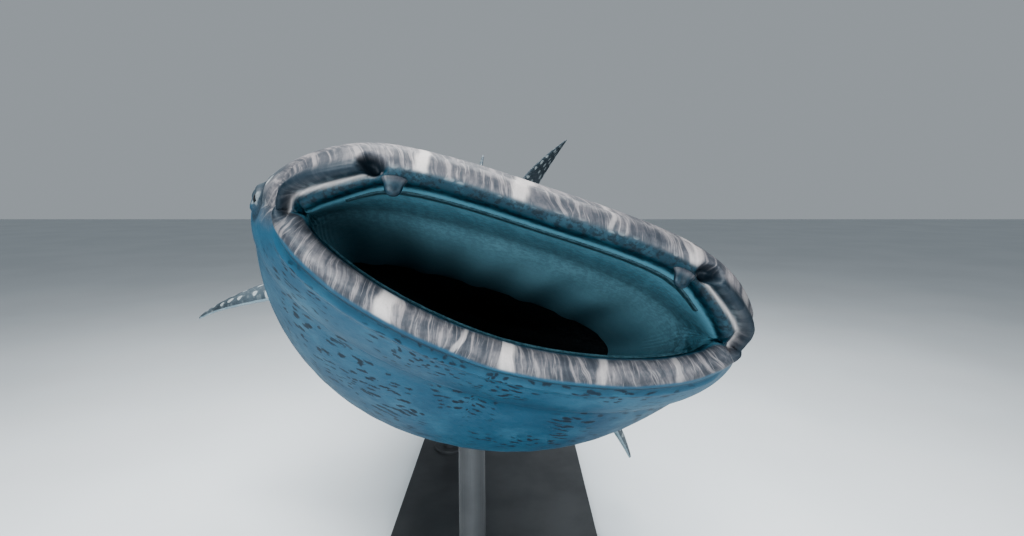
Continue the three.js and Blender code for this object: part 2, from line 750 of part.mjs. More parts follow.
// Tail: an upper and a lower lobe that grow from the end of the stalk
const LOBES = {
  caudal_fin_upper: { s: 5960, rise: 1, lean: 40, span: 1533, chord: 615, sweep: 583, thick: 84 },
  caudal_fin_lower: { s: 6060, rise: -1, lean: 34, span: 760, chord: 500, sweep: 300, thick: 78 },
};
for (const [name, lobe] of Object.entries(LOBES)) {
  const { tail, left, back: up } = axesAt(lobe.s * UNIT);
  const lean = rad(lobe.lean);
  const reach = up.clone().multiplyScalar(lobe.rise * Math.cos(lean)).addScaledVector(tail, Math.sin(lean));
  const trail = new THREE.Vector3().crossVectors(left, reach).multiplyScalar(-lobe.rise).normalize();
  if (trail.dot(tail) < 0) trail.negate();
  const shape = fin({
    root: place(lobe.s * UNIT, 0, lobe.rise * 60 * UNIT),
    reach,
    trail,
    face: left,
    span: lobe.span * UNIT,
    chord: lobe.chord * UNIT,
    sweep: lobe.sweep * UNIT,
    thick: lobe.thick * UNIT,
    sink: 60 * UNIT,
    lean: 0.8,
    waist: 1,
  });
  LOBES[name].shape = shape;
}
// The lobes meet in a plane level with the stalk's end
const tailEnd = axesAt(6100 * UNIT);
const lobePlate = new THREE.BoxGeometry(1600 * UNIT, 3000 * UNIT, GAP);
lobePlate.applyMatrix4(
  new THREE.Matrix4()
    .makeBasis(tailEnd.left, tailEnd.tail, tailEnd.back)
    .setPosition(place(6100 * UNIT, 0, 0)),
);
const upperHalf = new THREE.BoxGeometry(1600 * UNIT, 3000 * UNIT, 3000 * UNIT);
upperHalf.translate(0, 0, 1500 * UNIT + GAP / 2);
upperHalf.applyMatrix4(
  new THREE.Matrix4()
    .makeBasis(tailEnd.left, tailEnd.tail, tailEnd.back)
    .setPosition(place(6100 * UNIT, 0, 0)),
);
const above = solid(upperHalf);
addFin("caudal_fin_upper", LOBES.caudal_fin_upper.shape.intersect(above));
addFin("caudal_fin_lower", LOBES.caudal_fin_lower.shape.subtract(above).subtract(solid(lobePlate)));

// Stand: a flat plate with rounded corners and two rods that reach up to the belly from round feet
const BASE = { length: 3200, width: 1400, thick: 60, corner: 140, edge: 8 };
const RODS = { stand_rod_front: 1250, stand_rod_rear: 3500 };
const ROD = { radius: 62, taper: 1.15, foot: 150, footThick: 22, footEdge: 6, sides: 32 };

const half = { x: (BASE.width / 2 - BASE.edge) * UNIT, y: (BASE.length / 2 - BASE.edge) * UNIT };
const outline = new THREE.Shape();
for (const [turn, signX, signY] of [
  [0, 1, 1],
  [1, -1, 1],
  [2, -1, -1],
  [3, 1, -1],
]) {
  const corner = BASE.corner * UNIT;
  const [x, y] = [signX * (half.x - corner), signY * (half.y - corner)];
  outline.absarc(x, y, corner, (turn * Math.PI) / 2, ((turn + 1) * Math.PI) / 2);
}
const baseShape = new THREE.ExtrudeGeometry(outline, {
  depth: (BASE.thick - 2 * BASE.edge) * UNIT,
  bevelThickness: BASE.edge * UNIT,
  bevelSize: BASE.edge * UNIT,
  bevelSegments: 2,
  curveSegments: 8,
});
baseShape.translate(0, 0, BASE.edge * UNIT);
add("stand_base", solid(baseShape), standSteel);
for (const [name, s] of Object.entries(RODS)) {
  const top = place(s * UNIT, 0, 0);
  const bottom = BASE.thick * UNIT + GAP;
  const { radius, taper, foot, footThick, footEdge, sides } = ROD;
  const profile = [
    [0, 0],
    [foot, 0],
    [foot, footThick - footEdge],
    [foot - footEdge, footThick],
    [radius * taper, footThick],
    [radius, (top.z - bottom) / UNIT],
    [0, (top.z - bottom) / UNIT],
  ].map(([r, z]) => new THREE.Vector2(r * UNIT, z * UNIT));
  const rod = new THREE.LatheGeometry(profile, sides);
  rod.rotateX(Math.PI / 2);
  rod.translate(top.x, top.y, bottom);
  const pieces = solid(rod).subtract(skinGrown).decompose();
  const lowest = pieces.sort((a, b) => middleOf(a).z - middleOf(b).z)[0];
  add(name, lowest, standSteel);
}

export default shark;
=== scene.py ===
"""A life-size whale shark with its mouth wide open, on a display stand: its skin, eyes, teeth and stage."""

import math
from types import SimpleNamespace

import bpy
import numpy as np
from bpy.props import FloatProperty, FloatVectorProperty, IntProperty, PointerProperty
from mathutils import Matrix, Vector


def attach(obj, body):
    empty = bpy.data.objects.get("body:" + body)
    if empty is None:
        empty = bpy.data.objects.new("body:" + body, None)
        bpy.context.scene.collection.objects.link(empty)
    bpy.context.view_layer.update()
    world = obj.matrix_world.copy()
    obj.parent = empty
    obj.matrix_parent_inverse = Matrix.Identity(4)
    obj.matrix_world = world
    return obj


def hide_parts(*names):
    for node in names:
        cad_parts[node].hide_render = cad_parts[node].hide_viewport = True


bl_info = {
    "name": "Whale shark",
    "version": (1, 0, 0),
    "blender": (4, 5, 0),
    "location": "3D View > Sidebar > Whale shark",
    "description": "Dresses a life-size whale shark on a display stand",
    "category": "Add Mesh",
}

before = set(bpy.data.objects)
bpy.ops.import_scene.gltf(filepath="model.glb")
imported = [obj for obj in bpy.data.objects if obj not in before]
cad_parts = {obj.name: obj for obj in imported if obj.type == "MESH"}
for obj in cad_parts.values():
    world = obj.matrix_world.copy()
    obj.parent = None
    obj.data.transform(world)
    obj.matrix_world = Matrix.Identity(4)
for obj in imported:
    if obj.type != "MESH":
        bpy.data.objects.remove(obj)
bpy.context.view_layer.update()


# Sizes in metres and degrees. The body's frame has s tailward along the spine, x leftward and z to the back

# Spine: place, heading and climb
POSE = np.array([
    [0.0, -9, -12],
    [1.5, -10.5, -9],
    [3.0, -7.7, -6.6],
    [4.2, -5.2, 5.7],
    [5.3, 21.1, 13.8],
    [6.3, 44.1, 8.3],
])
BANK = math.radians(18.4)
HEAD_PLACE = np.array([0.130, -2.450, 2.160])
SPINE_STEP = 0.02
SPINE_START = -0.6
SPINE_END = 7.6

# Body: place, half width, height above, depth below, and the powers of the curves above and below
SECTIONS = np.array([
    [0.0, 0.692, 0.198, 0.235, 1.9, 2.0],
    [0.5, 0.770, 0.288, 0.560, 2.05, 2.1],
    [1.0, 0.718, 0.415, 0.655, 2.1, 2.2],
    [1.6, 0.680, 0.500, 0.640, 2.0, 2.3],
    [2.3, 0.612, 0.548, 0.590, 2.0, 2.25],
    [3.1, 0.538, 0.560, 0.535, 2.0, 2.15],
    [3.9, 0.426, 0.490, 0.450, 1.95, 2.1],
    [4.7, 0.300, 0.355, 0.325, 1.9, 2.0],
    [5.3, 0.208, 0.232, 0.215, 1.85, 1.9],
    [5.7, 0.168, 0.160, 0.152, 1.8, 1.8],
    [6.1, 0.096, 0.118, 0.112, 1.8, 1.8],
    [6.4, 0.040, 0.084, 0.080, 1.8, 1.8],
])
BROW_S = 0.16
GILLS_FRONT = 0.80
GILLS_REAR = 1.75
STALK_END = 6.25

# Lips: the oval of their middle line, how far forward they reach, and the radius of their roll
LIP = {
    "wide": 0.566, "above": 0.201, "below": 0.187, "level": -0.025, "top_power": 2.3,
    "belly_power": 1.75, "corner_s": -0.090, "upper_s": -0.240, "lower_s": -0.100, "upper_plan": 2.8,
    "lower_plan": 2.3, "upper_roll": 0.037, "lower_roll": 0.039, "corner_roll": 0.034, "dip": 0.038,
    "dip_half": 0.410, "brow": 0.012, "brow_x": 0.430, "brow_half": 0.100, "swell": 0.015,
    "drop": 0.026, "swell_x": 0.490, "swell_half": 0.110,
}
LIP_STEP = 0.02
CHEEK_PULL = 0.75
CHEEK_SPREAD = 0.45
GUM_RUN = 0.12

# Hollow of the mouth: place, half width, height above, depth below, level and power of the curve
HOLLOW = np.array([
    [0.11, 0.545, 0.140, 0.240, -0.042, 2.5],
    [0.33, 0.555, 0.120, 0.290, -0.075, 2.4],
    [0.64, 0.530, 0.100, 0.310, -0.120, 2.3],
    [0.94, 0.440, 0.085, 0.260, -0.150, 2.2],
    [1.18, 0.250, 0.060, 0.120, -0.180, 2.0],
])
THROAT_END = 1.18

# Ridges of the back: angle from its midline, height, first and last place, half width in degrees
RIDGES = (
    (0, 0.014, 0.5, 3.3, 2.6),
    (25.7, 0.022, 0.8, 5.0, 2.6),
    (51.4, 0.022, 0.9, 5.4, 2.6),
    (77, 0.020, 1.7, 5.3, 2.6),
    (90, 0.046, 4.7, 6.35, 5.0),
)

# Gill slits: place, and the angles of their upper and lower ends
GILLS = ((0.88, 62, 122), (1.07, 65, 115.75), (1.26, 68, 109.5), (1.45, 71, 103.25), (1.64, 74, 97))
GILL_BOW = 0.055

# Angles round the mouth. A turn goes round the lip's roll, from its outer side to the mouth's
NOSTRIL = {"angle": 42, "turn": 100, "wide": 0.026, "high": 0.019}
FURROW_END = 99
CORNER_ANGLE = 98.5
EYE = {"angle": 89, "share": 0.4, "ring": 0.031, "gutter": 0.052}
SPIRACLE = {"s": 0.30, "z": 0.03, "long": 0.012, "high": 0.030}

# Heights and depths of what is sculpted in the skin
RELIEF = {
    "gill_flap": 0.024, "gill_slit": 0.030, "furrow": 0.026, "furrow_rim": 0.010, "nostril": 0.055,
    "nostril_rim": 0.004, "lip_swell": 0.004, "corner_fold": 0.006, "corner_dent": 0.010,
    "chin_fold": 0.010, "roof_gutter": 0.003, "roof_fold": 0.005, "throat_pleat": 0.0007,
    "eye_ring": 0.009, "eye_gutter": 0.004, "spiracle": 0.02,
}

# Broad pale bars of painted light across the lips: angle round the mouth, half width, strength
LIGHT_BARS = (
    (-29, 0.022, 0.9), (-5, 0.020, 0.75), (-147, 0.024, 0.85), (178, 0.040, 0.8), (-168, 0.010, 0.5),
    (12, 0.010, 0.4), (33, 0.016, 0.5), (58, 0.014, 0.45), (128, 0.012, 0.4), (150, 0.014, 0.45),
)

# Nasal flaps hang from the upper lip. Trim and narrow keep them inside their solids
FLAP = {"angle": 35, "turn": 150, "wide": 0.046, "thick": 0.016, "long": 0.062, "narrow": 0.86, "trim": 0.68}
FLAP_MAP = {"u": -0.3, "v": 0.30, "round": 0.02}
FLAP_POINTS = 20

# Fins: where each stands on the body and the way it points, then its sizes. The chord is that of its root
PECTORAL = {"s": 1.455, "inset": 0.04, "span": 1.05, "chord": 0.566, "thick": 0.11, "sink": 0.16}
PELVIC = {"s": 3.78, "inset": 0.02, "span": 0.3, "chord": 0.33, "sweep": 0.24, "thick": 0.046, "sink": 0.08}
DORSAL_FIRST = {"s": 3.42, "span": 0.623, "chord": 0.72, "sweep": 0.586, "thick": 0.092, "sink": 0.12}
DORSAL_SECOND = {"s": 4.96, "span": 0.225, "chord": 0.30, "sweep": 0.21, "thick": 0.04, "sink": 0.06}
ANAL = {"s": 5.04, "span": 0.21, "chord": 0.27, "sweep": 0.21, "thick": 0.036, "sink": 0.06}
PECTORAL_LEFT = {"angle": 107, "outward": 129, "pitch": 16, "sweep": 0.755, "curl": 0.12}
PECTORAL_RIGHT = {"angle": -107, "outward": -118, "pitch": -11.4, "sweep": 1.209, "curl": -0.25}
BODY_FINS = {
    "pectoral_fin_left": {**PECTORAL, **PECTORAL_LEFT},
    "pectoral_fin_right": {**PECTORAL, **PECTORAL_RIGHT},
    "pelvic_fin_left": {"angle": 142, "outward": 138, **PELVIC},
    "pelvic_fin_right": {"angle": -142, "outward": -138, **PELVIC},
    "dorsal_fin_first": {"angle": 0, "outward": 0, "inset": 0.01, **DORSAL_FIRST},
    "dorsal_fin_second": {"angle": 0, "outward": 0, "inset": 0.01, **DORSAL_SECOND},
    "anal_fin": {"angle": 180, "outward": 180, "inset": 0.01, **ANAL},
}
CAUDAL = {"sink": 0.06, "waist": 1.0, "lean": 0.8, "flare": 0.4}
TOP_LOBE = {"s": 5.96, "rise": 1, "slant": 40, "span": 1.533, "chord": 0.615, "sweep": 0.583, "thick": 0.084}
LOW_LOBE = {"s": 6.06, "rise": -1, "slant": 34, "span": 0.76, "chord": 0.5, "sweep": 0.3, "thick": 0.078}
TAIL_FINS = {"caudal_fin_upper": {**CAUDAL, **TOP_LOBE}, "caudal_fin_lower": {**CAUDAL, **LOW_LOBE}}
CAUDAL_RISE = 0.06
FIN_POINTS = 36
FIN_UNDERSIDE = 0.9

# Where the fins' pattern lies on the skin's map, and how far it runs along the chord and the span
FIN_MAP = {"u": 7, "v": 2, "chord": 0.5, "span": 1.3}
SEAM_JUMP = 1.2

# The skin's paint masks, as they are kept in its two colour attributes
MASKS = {"regions": ("flank", "lip", "mouth", "rim"), "marks": ("groove", "speckle", "deep", "spare")}

FLESH = [
    "head", "lower_jaw", "gill_region", "body_middle", "body_rear", "tail_stalk",
    "nasal_flap_left", "nasal_flap_right", *BODY_FINS, *TAIL_FINS,
]

# Dark and light tone of each finish but the skin's
TONES = {
    "eye": ((0.004, 0.005, 0.006), (0.020, 0.024, 0.028)),
    "pad": ((0.0015, 0.004, 0.006), (0.006, 0.012, 0.016)),
    "tooth": ((0.012, 0.034, 0.045), (0.035, 0.075, 0.090)),
    "stand": ((0.055, 0.058, 0.062), (0.075, 0.078, 0.082)),
    "floor": ((0.60, 0.63, 0.65), (0.64, 0.67, 0.69)),
}

# Studio lights: place, size across, power in watts and colour
LIGHTS = {
    "key": ((-1.5, -4.0, 7.5), 4.0, 540, (1.0, 0.98, 0.95)),
    "top": ((0.5, 1.5, 8.0), 7.0, 520, (0.97, 0.99, 1.0)),
    "fill": ((-1.6, -6.2, 3.0), 2.4, 190, (0.92, 0.97, 1.0)),
    "side": ((2.7, -5.4, 2.7), 2.0, 70, (0.92, 0.97, 1.0)),
    "low": ((0.4, -6.6, 1.0), 2.4, 60, (0.92, 0.97, 1.0)),
}
LIGHT_AIM = Vector((0, -1.0, 1.8))
STUDIO_COLOUR = (0.74, 0.80, 0.85, 1)
STUDIO_STRENGTH = 0.36
FLOOR_HALF = 40
SENSOR_WIDTH = 36.0


# Curves


def ease(x, low, high):
    t = np.clip((np.asarray(x, float) - low) / (high - low), 0, 1)
    return t * t * (3 - 2 * t)


def bell(x, middle, width):
    return np.exp(-(((np.asarray(x, float) - middle) / width) ** 2))


def waves(*phases):
    """A calm, repeatable unevenness from a few sine waves."""
    return sum(np.sin(p) for p in phases) / len(phases)


def hermite(a, leave, b, arrive, t):
    """Smooth curve from a to b, with its slope at either end."""
    t2, t3 = t * t, t * t * t
    return (2 * t3 - 3 * t2 + 1) * a + (t3 - 2 * t2 + t) * leave + (3 * t2 - 2 * t3) * b + (t3 - t2) * arrive


def along(table, s, column):
    """Smooth curve through one column of a table whose first column is the place."""
    places, values = table[:, 0], table[:, column]
    s = np.asarray(s, float)
    i = np.clip(np.searchsorted(places, s, side="left") - 1, 0, len(places) - 2)
    span = places[i + 1] - places[i]
    t = np.clip((s - places[i]) / span, 0, 1)
    slopes = np.empty(len(places))
    slopes[1:-1] = (values[2:] - values[:-2]) / (places[2:] - places[:-2])
    slopes[0] = (values[1] - values[0]) / (places[1] - places[0])
    slopes[-1] = (values[-1] - values[-2]) / (places[-1] - places[-2])
    return hermite(values[i], slopes[i] * span, values[i + 1], slopes[i + 1] * span, t)


def oval(angle, wide, above, below, top_power, belly_power):
    up, side = np.cos(angle), np.sin(angle)
    power = 2 / np.where(up >= 0, top_power, belly_power)
    x = wide * np.sign(side) * np.abs(side) ** power
    return x, np.where(up >= 0, above, -below) * np.abs(up) ** power


# The body's frame


def spine_axes(s):
    """The tailward, left and back directions of the body's frame."""
    heading = np.radians(along(POSE, s, 1))
    climb = np.radians(along(POSE, s, 2))
    flat = np.cos(climb)
    tail = np.stack([np.sin(heading) * flat, np.cos(heading) * flat, np.sin(climb)], -1)
    level = -np.cross(np.array([0, 0, 1.0]), tail)
    level /= np.linalg.norm(level, axis=-1, keepdims=True)
    upright = np.cross(level, tail)
    left = level * math.cos(BANK) - upright * math.sin(BANK)
    back = upright * math.cos(BANK) + level * math.sin(BANK)
    return tail, left, back


def spine_points():
    middles = np.arange(SPINE_START + SPINE_STEP / 2, SPINE_END, SPINE_STEP)
    steps = spine_axes(middles)[0] * SPINE_STEP
    points = np.vstack([np.zeros(3), np.cumsum(steps, axis=0)])
    return points - points[int(round(-SPINE_START / SPINE_STEP))] + HEAD_PLACE


SPINE = spine_points()


def place(s, x, z):
    """Points of the body's frame in the part's frame."""
    s, x, z = np.broadcast_arrays(np.asarray(s, float), x, z)
    k = np.clip((s - SPINE_START) / SPINE_STEP, 0, len(SPINE) - 1.001)
    i = k.astype(int)
    t = (k - i)[..., None]
    _, left, back = spine_axes(s)
    return SPINE[i] * (1 - t) + SPINE[i + 1] * t + left * x[..., None] + back * z[..., None]


def body_section(s, angle):
    return oval(angle, *(along(SECTIONS, s, column) for column in range(1, 6)))


def hollow_point(s, angle):
    wide, above, below, level, power = (along(HOLLOW, s, column) for column in range(1, 6))
    x, z = oval(angle, wide, above, below, power, power)
    return s, x, z + level


def lip_line(angle):
    """The middle line of the lips: x, z, s and the radius of the roll."""
    x, z = oval(angle, LIP["wide"], LIP["above"], LIP["below"], LIP["top_power"], LIP["belly_power"])
    upper = np.cos(angle) >= 0
    plan = np.where(upper, LIP["upper_plan"], LIP["lower_plan"])
    front = np.where(upper, LIP["upper_s"], LIP["lower_s"]) - LIP["corner_s"]
    reach = (1 - np.minimum(1, np.abs(x) / LIP["wide"]) ** plan) ** (1 / plan)
    full = ease(reach, 0, 0.75)
    roll = LIP["corner_roll"] * (1 - full) + np.where(upper, LIP["upper_roll"], LIP["lower_roll"]) * full
    above = ease(np.cos(angle), 0, 0.35)
    swell = above * bell(np.abs(x), LIP["swell_x"], LIP["swell_half"])
    brow = LIP["brow"] * bell(np.abs(x), LIP["brow_x"], LIP["brow_half"])
    rise = brow - LIP["dip"] * bell(x, 0, LIP["dip_half"])
    z = z + LIP["level"] + above * rise - LIP["drop"] * swell
    return x, z, LIP["corner_s"] + front * reach, roll + LIP["swell"] * swell


def lip_at(angle):
    """The lips' middle line, with the outward direction across it."""
    x, z, s, roll = lip_line(angle)
    before, after = lip_line(angle - LIP_STEP), lip_line(angle + LIP_STEP)
    out_x, out_z = before[1] - after[1], after[0] - before[0]
    size = np.hypot(out_x, out_z)
    return s, x, z, roll, out_x / size, out_z / size


def lip_point(angle, turn):
    s, x, z, roll, out_x, out_z = lip_at(angle)
    out = np.cos(turn) * roll
    return s - np.sin(turn) * roll, x + out_x * out, z + out_z * out


def cheek_point(angle, share):
    """Skin between the brow and the outer side of the lips."""
    brow_x, brow_z = body_section(BROW_S, angle)
    end_s, end_x, end_z = lip_point(angle, 0.0)
    *_, out_x, out_z = lip_at(angle)
    run = np.sqrt((BROW_S - end_s) ** 2 + (brow_x - end_x) ** 2 + (brow_z - end_z) ** 2)
    return (
        hermite(BROW_S, -run, end_s, -run * CHEEK_PULL, share),
        hermite(brow_x, 0, end_x, -out_x * run * CHEEK_SPREAD, share),
        hermite(brow_z, 0, end_z, -out_z * run * CHEEK_SPREAD, share),
    )


def gum_point(angle, share):
    """Skin between the inner side of the lips and the hollow of the mouth."""
    start, end = lip_point(angle, math.pi), hollow_point(HOLLOW[0, 0], angle)
    return tuple(hermite(a, run, b, run, share) for a, run, b in zip(start, (GUM_RUN, 0, 0), end))


def brow_arc(degrees):
    """The way along the girth of the brow from the back's midline to an angle."""
    angles = np.linspace(0, math.radians(degrees), 200)
    x, z = body_section(BROW_S, angles)
    return math.copysign(float(np.hypot(np.diff(x), np.diff(z)).sum()), degrees)


# Skin


def girth_angles(count):
    """Angles round the body, closer together at the nostrils and the corners of the mouth."""
    fine = np.linspace(-math.pi, math.pi, 4001)
    weight = 1 + 1.1 * bell(np.degrees(np.abs(fine)), 62, 34)
    total = np.concatenate([[0], np.cumsum((weight[1:] + weight[:-1]) / 2)])
    total /= total[-1]
    return np.interp(np.arange(count) / count, total, fine)


def body_stations():
    rear = np.linspace(STALK_END, GILLS_REAR, 100, endpoint=False)
    gills = np.linspace(GILLS_REAR, GILLS_FRONT, 74, endpoint=False)
    front = np.linspace(GILLS_FRONT, BROW_S, 18)
    return np.concatenate([rear, gills, front])


class SkinNet:
    """The skin's rings of points in the body's frame, from the tail to the lips and back down the throat.

    A share is how far a ring lies through its zone, or its place on the body and in the hollow of the mouth.
    """

    def __init__(self, girth):
        angles = girth_angles(girth)
        rings = [("body", s, (s, *body_section(s, angles))) for s in body_stations()]
        rings += [("cheek", t, cheek_point(angles, t)) for t in (np.arange(1, 31) / 30) ** 0.85]
        rings += [("roll", t, lip_point(angles, t * math.pi)) for t in np.arange(1, 27) / 26]
        rings += [("gum", t, gum_point(angles, t)) for t in np.arange(1, 13) / 13]
        rings += [("hollow", s, hollow_point(s, angles)) for s in np.linspace(HOLLOW[0, 0], THROAT_END, 22)]
        zones, shares, points = zip(*rings)
        self.points = np.array([np.stack([np.broadcast_to(c, angles.shape) for c in p], -1) for p in points])
        self.s, self.x = self.points[..., 0], self.points[..., 1]
        self.angles = angles
        self.side = np.degrees(np.abs(angles))[None, :]
        self.shares = np.array(shares)[:, None]
        zones = np.array(zones)[:, None]
        self.body, self.cheek, self.roll, self.gum, self.hollow = (
            zones == zone for zone in ("body", "cheek", "roll", "gum", "hollow")
        )
        self.lift, self.groove, self.rim = (np.zeros(self.points.shape[:2]) for _ in range(3))

    def settle(self):
        """Moves each point by its lift, along the net's normal."""
        around = np.roll(self.points, -1, 1) - np.roll(self.points, 1, 1)
        normal = np.cross(np.gradient(self.points, axis=0), around)
        normal /= np.maximum(np.linalg.norm(normal, axis=-1, keepdims=True), 1e-9)
        self.points = self.points + normal * self.lift[..., None]
        self.lift = np.zeros_like(self.lift)


def raise_ridges(net):
    for angle, height, start, end, width in RIDGES:
        crest = net.body * height * ease(net.s, start, start + 0.5) * (1 - ease(net.s, end - 0.5, end))
        net.lift += crest * bell(net.side, angle, width)
        net.lift -= crest * 0.35 * bell(net.side, angle, width * 2.4)


def cut_gills(net):
    """Five slits on each side, each behind the bowed edge of a raised flap."""
    for start, top, bottom in GILLS:
        t = np.clip((net.side - top) / (bottom - top), 0, 1)
        inside = ease(net.side, top - 2.0, top + 1.5) * (1 - ease(net.side, bottom - 1.5, bottom + 2.0))
        inside = net.body * inside
        behind = net.s - (start + GILL_BOW * np.sin(np.pi * t))
        flap = ease(behind, -0.15, -0.008) * (1 - ease(behind, -0.008, 0.004))
        net.lift += inside * RELIEF["gill_flap"] * flap
        net.lift -= inside * RELIEF["gill_slit"] * bell(behind, 0.014, 0.012)
        # Painted shade in each slit
        net.groove += inside * bell(behind, 0.014, 0.016)


def press_furrow(net):
    """Labial furrow, from the nostril along the roll of the upper lip to the corner of the mouth."""
    t = np.clip((net.side - NOSTRIL["angle"]) / (FURROW_END - NOSTRIL["angle"]), 0, 1)
    middle = NOSTRIL["turn"] + 2 - 40 * t**1.4
    turn = net.shares * 180
    inside = ease(net.side, NOSTRIL["angle"] - 3, NOSTRIL["angle"] + 4) * (1 - ease(net.side, 94, 101))
    inside = net.roll * inside
    net.lift -= inside * bell(turn, middle, 15) * RELIEF["furrow"] * (1 - 0.25 * t)
    net.lift += inside * bell(turn, middle + 33, 12) * RELIEF["furrow_rim"]
    # Painted shade along the furrow, and a painted highlight along the fold's rim below it
    net.groove += 1.05 * inside * bell(turn, middle, 19)
    net.rim += inside * bell(turn, middle + 31, 7)


def sink_nostrils(net):
    """Pits that go straight back into the head, each in a low rim."""
    for sign in (-1, 1):
        pit = np.array(lip_point(math.radians(NOSTRIL["angle"]) * sign, math.radians(NOSTRIL["turn"])), float)
        away = net.points - pit
        across = np.hypot(away[..., 1] / NOSTRIL["wide"], away[..., 2] / NOSTRIL["high"])
        near = np.exp(-(across**4)) * (net.points[..., 0] < 0.02) * net.roll
        net.points[..., 0] += near * RELIEF["nostril"]
        # Painted shade in each pit
        net.groove += near
        net.points[..., 0] -= bell(across, 1.25, 0.3) * net.roll * RELIEF["nostril_rim"]


def fold_mouth(net):
    """The lips' swellings, the folds at the corners, and the low folds of roof, chin and throat."""
    angles, side, shares = net.angles, net.side, net.shares
    lower = ease(side, 100, 112)
    rounded = np.sin(np.pi * shares)
    uneven = waves(angles * 9 + 1.3, angles * 17 + 0.4, angles * 5 + 2.0)
    net.lift += net.roll * lower * RELIEF["lip_swell"] * uneven * rounded
    behind_lips = (net.gum | (net.hollow & (shares < 0.4))) * bell(side, 96, 15)
    net.lift += behind_lips * RELIEF["corner_fold"] * np.sin(side * 1.55)
    net.lift -= net.roll * bell(side, CORNER_ANGLE, 4.0) * RELIEF["corner_dent"] * rounded
    # Painted shade in the crease at each corner of the mouth
    net.groove += 0.35 * net.roll * bell(side, CORNER_ANGLE, 2.6) * ease(shares, 0.25, 0.5)

    # A low fold under the lower lip, and the shallow gutter between lip and throat, with painted shade along
    # the gutter and under the lower lip's roll
    net.lift -= net.cheek * lower * RELIEF["chin_fold"] * bell(shares, 0.90, 0.07)
    net.groove += net.cheek * lower * 0.45 * bell(shares, 0.98, 0.05)
    net.groove += net.roll * lower * 0.80 * bell(shares, 0.07, 0.07)

    # The roof behind the upper lip: a gutter, then the palate's long low folds
    upper = 1 - ease(side, 84, 98)
    net.lift -= net.gum * upper * RELIEF["roof_gutter"] * bell(shares, 0.22, 0.09)
    net.lift += net.hollow * upper * RELIEF["roof_fold"] * np.sin(net.x * 34) * ease(net.s, 0.15, 0.4)

    # Faint long pleats of the throat
    pleats = waves(angles * 43, angles * 61 + 1) * (1 - ease(net.s, 1.2, 2.0))
    net.lift += (net.body | net.cheek) * ease(side, 118, 140) * RELIEF["throat_pleat"] * pleats


def ring_eyes(net):
    """A raised ring of skin round each eye, in a shallow gutter."""
    outside = net.cheek | net.body
    for sign in (-1, 1):
        socket = np.array(cheek_point(math.radians(EYE["angle"]) * sign, EYE["share"]), float)
        away = np.linalg.norm(net.points - socket, axis=-1)
        ring = bell(away, EYE["ring"], 0.009) * RELIEF["eye_ring"]
        gutter = bell(away, EYE["gutter"], 0.012) * RELIEF["eye_gutter"]
        net.points[..., 1] += sign * (ring - gutter) * outside
        # Painted shade in the gutter and round the eye
        net.groove += outside * (0.75 * bell(away, EYE["gutter"], 0.010) + 0.55 * bell(away, 0, 0.048))


def slit_spiracles(net):
    """A small slit behind each eye."""
    for sign in (-1, 1):
        away_s = (net.points[..., 0] - SPIRACLE["s"]) / SPIRACLE["long"]
        away_z = (net.points[..., 2] - SPIRACLE["z"]) / SPIRACLE["high"]
        slit = np.exp(-(away_s**2) - away_z**2) * (np.sign(net.points[..., 1]) == sign) * net.body
        net.points[..., 1] -= sign * slit * RELIEF["spiracle"]
        # Painted shade in the slit
        net.groove += slit


def sculpt(net):
    raise_ridges(net)
    cut_gills(net)
    press_furrow(net)
    net.settle()
    sink_nostrils(net)
    fold_mouth(net)
    net.settle()
    ring_eyes(net)
    slit_spiracles(net)


def skin_masks(net):
    """Where the skin is spotted back, lip, mouth and so on, each 0 to 1, and where shade and a highlight are
    painted. What is left is belly.
    """
    side, shares, s = net.side, net.shares, net.points[..., 0]
    edge = 104 + 6 * np.sin(s * 2.1) - 10 * ease(s, 3.5, 6.0) - 12 * (1 - ease(s, 0.1, 0.9))
    flank = 1 - ease(side, edge - 13, edge + 9)
    inner_start = 0.55 + 0.27 * ease(side, 92, 104)
    inner = ease(shares, inner_start, inner_start + 0.12)
    mouth = np.where(net.roll, inner, 0) + (net.gum | net.hollow)
    edge = 0.22 * ease(side, 96, 112)
    lip = np.where(net.roll, ease(shares, edge - 0.01, edge + 0.07) - inner, 0)
    lip = np.where(net.roll & (side < 96), 1 - inner, lip)
    lip = lip + net.cheek * (1 - ease(side, 90, 103)) * ease(shares, 0.25, 0.9)
    # Painted shade deep in the hollow of the mouth, starting further in on the roof and at the corners than
    # on the floor
    start = 0.38 + 0.42 * (1 - ease(side, 108, 150))
    deep = np.where(net.hollow, ease(shares, start, start + 0.10), 0)

    # Flecked skin: the throat, the underside of the upper lip and the inner edge of the lower lip. Inside the
    # mouth these last two also take painted shade
    throat = (net.body | net.cheek) * ease(side, 100, 118) * (1 - ease(s, 0.3, 0.9))
    skirt = net.roll * ease(shares, 0.46, 0.58) + net.gum * (1 - ease(shares, 0.05, 0.16))
    brim = net.roll * ease(shares, 0.76, 0.84) + net.gum + net.hollow * (1 - ease(shares, 0.11, 0.5))
    speckle = throat + skirt * (1 - ease(side, 88, 100)) + brim * ease(side, 98, 112)
    return {
        "flank": flank,
        "lip": np.clip(lip, 0, 1),
        "mouth": np.clip(mouth, 0, 1),
        "rim": net.rim,
        "groove": np.clip(net.groove, 0, 1),
        "speckle": speckle,
        "deep": deep,
    }


def skin_map(net):
    """Path coordinates: lengthways from the brow, and round the girth from the back's midline."""
    steps = np.linalg.norm(np.diff(net.points, axis=0), axis=-1).mean(1)
    path = np.concatenate([[0], np.cumsum(steps)])
    brow = int(net.body.sum()) - 1
    u = np.broadcast_to((BROW_S + path[brow] - path)[:, None], net.points.shape[:2])
    around = np.linalg.norm(np.roll(net.points, -1, 1) - net.points, axis=-1)
    middle = int(np.argmin(np.abs(net.angles)))
    v = np.cumsum(around, axis=1) - around
    v = v - v[:, middle : middle + 1]
    v[brow:] = v[brow]
    return u, v


# Fins and nasal flaps


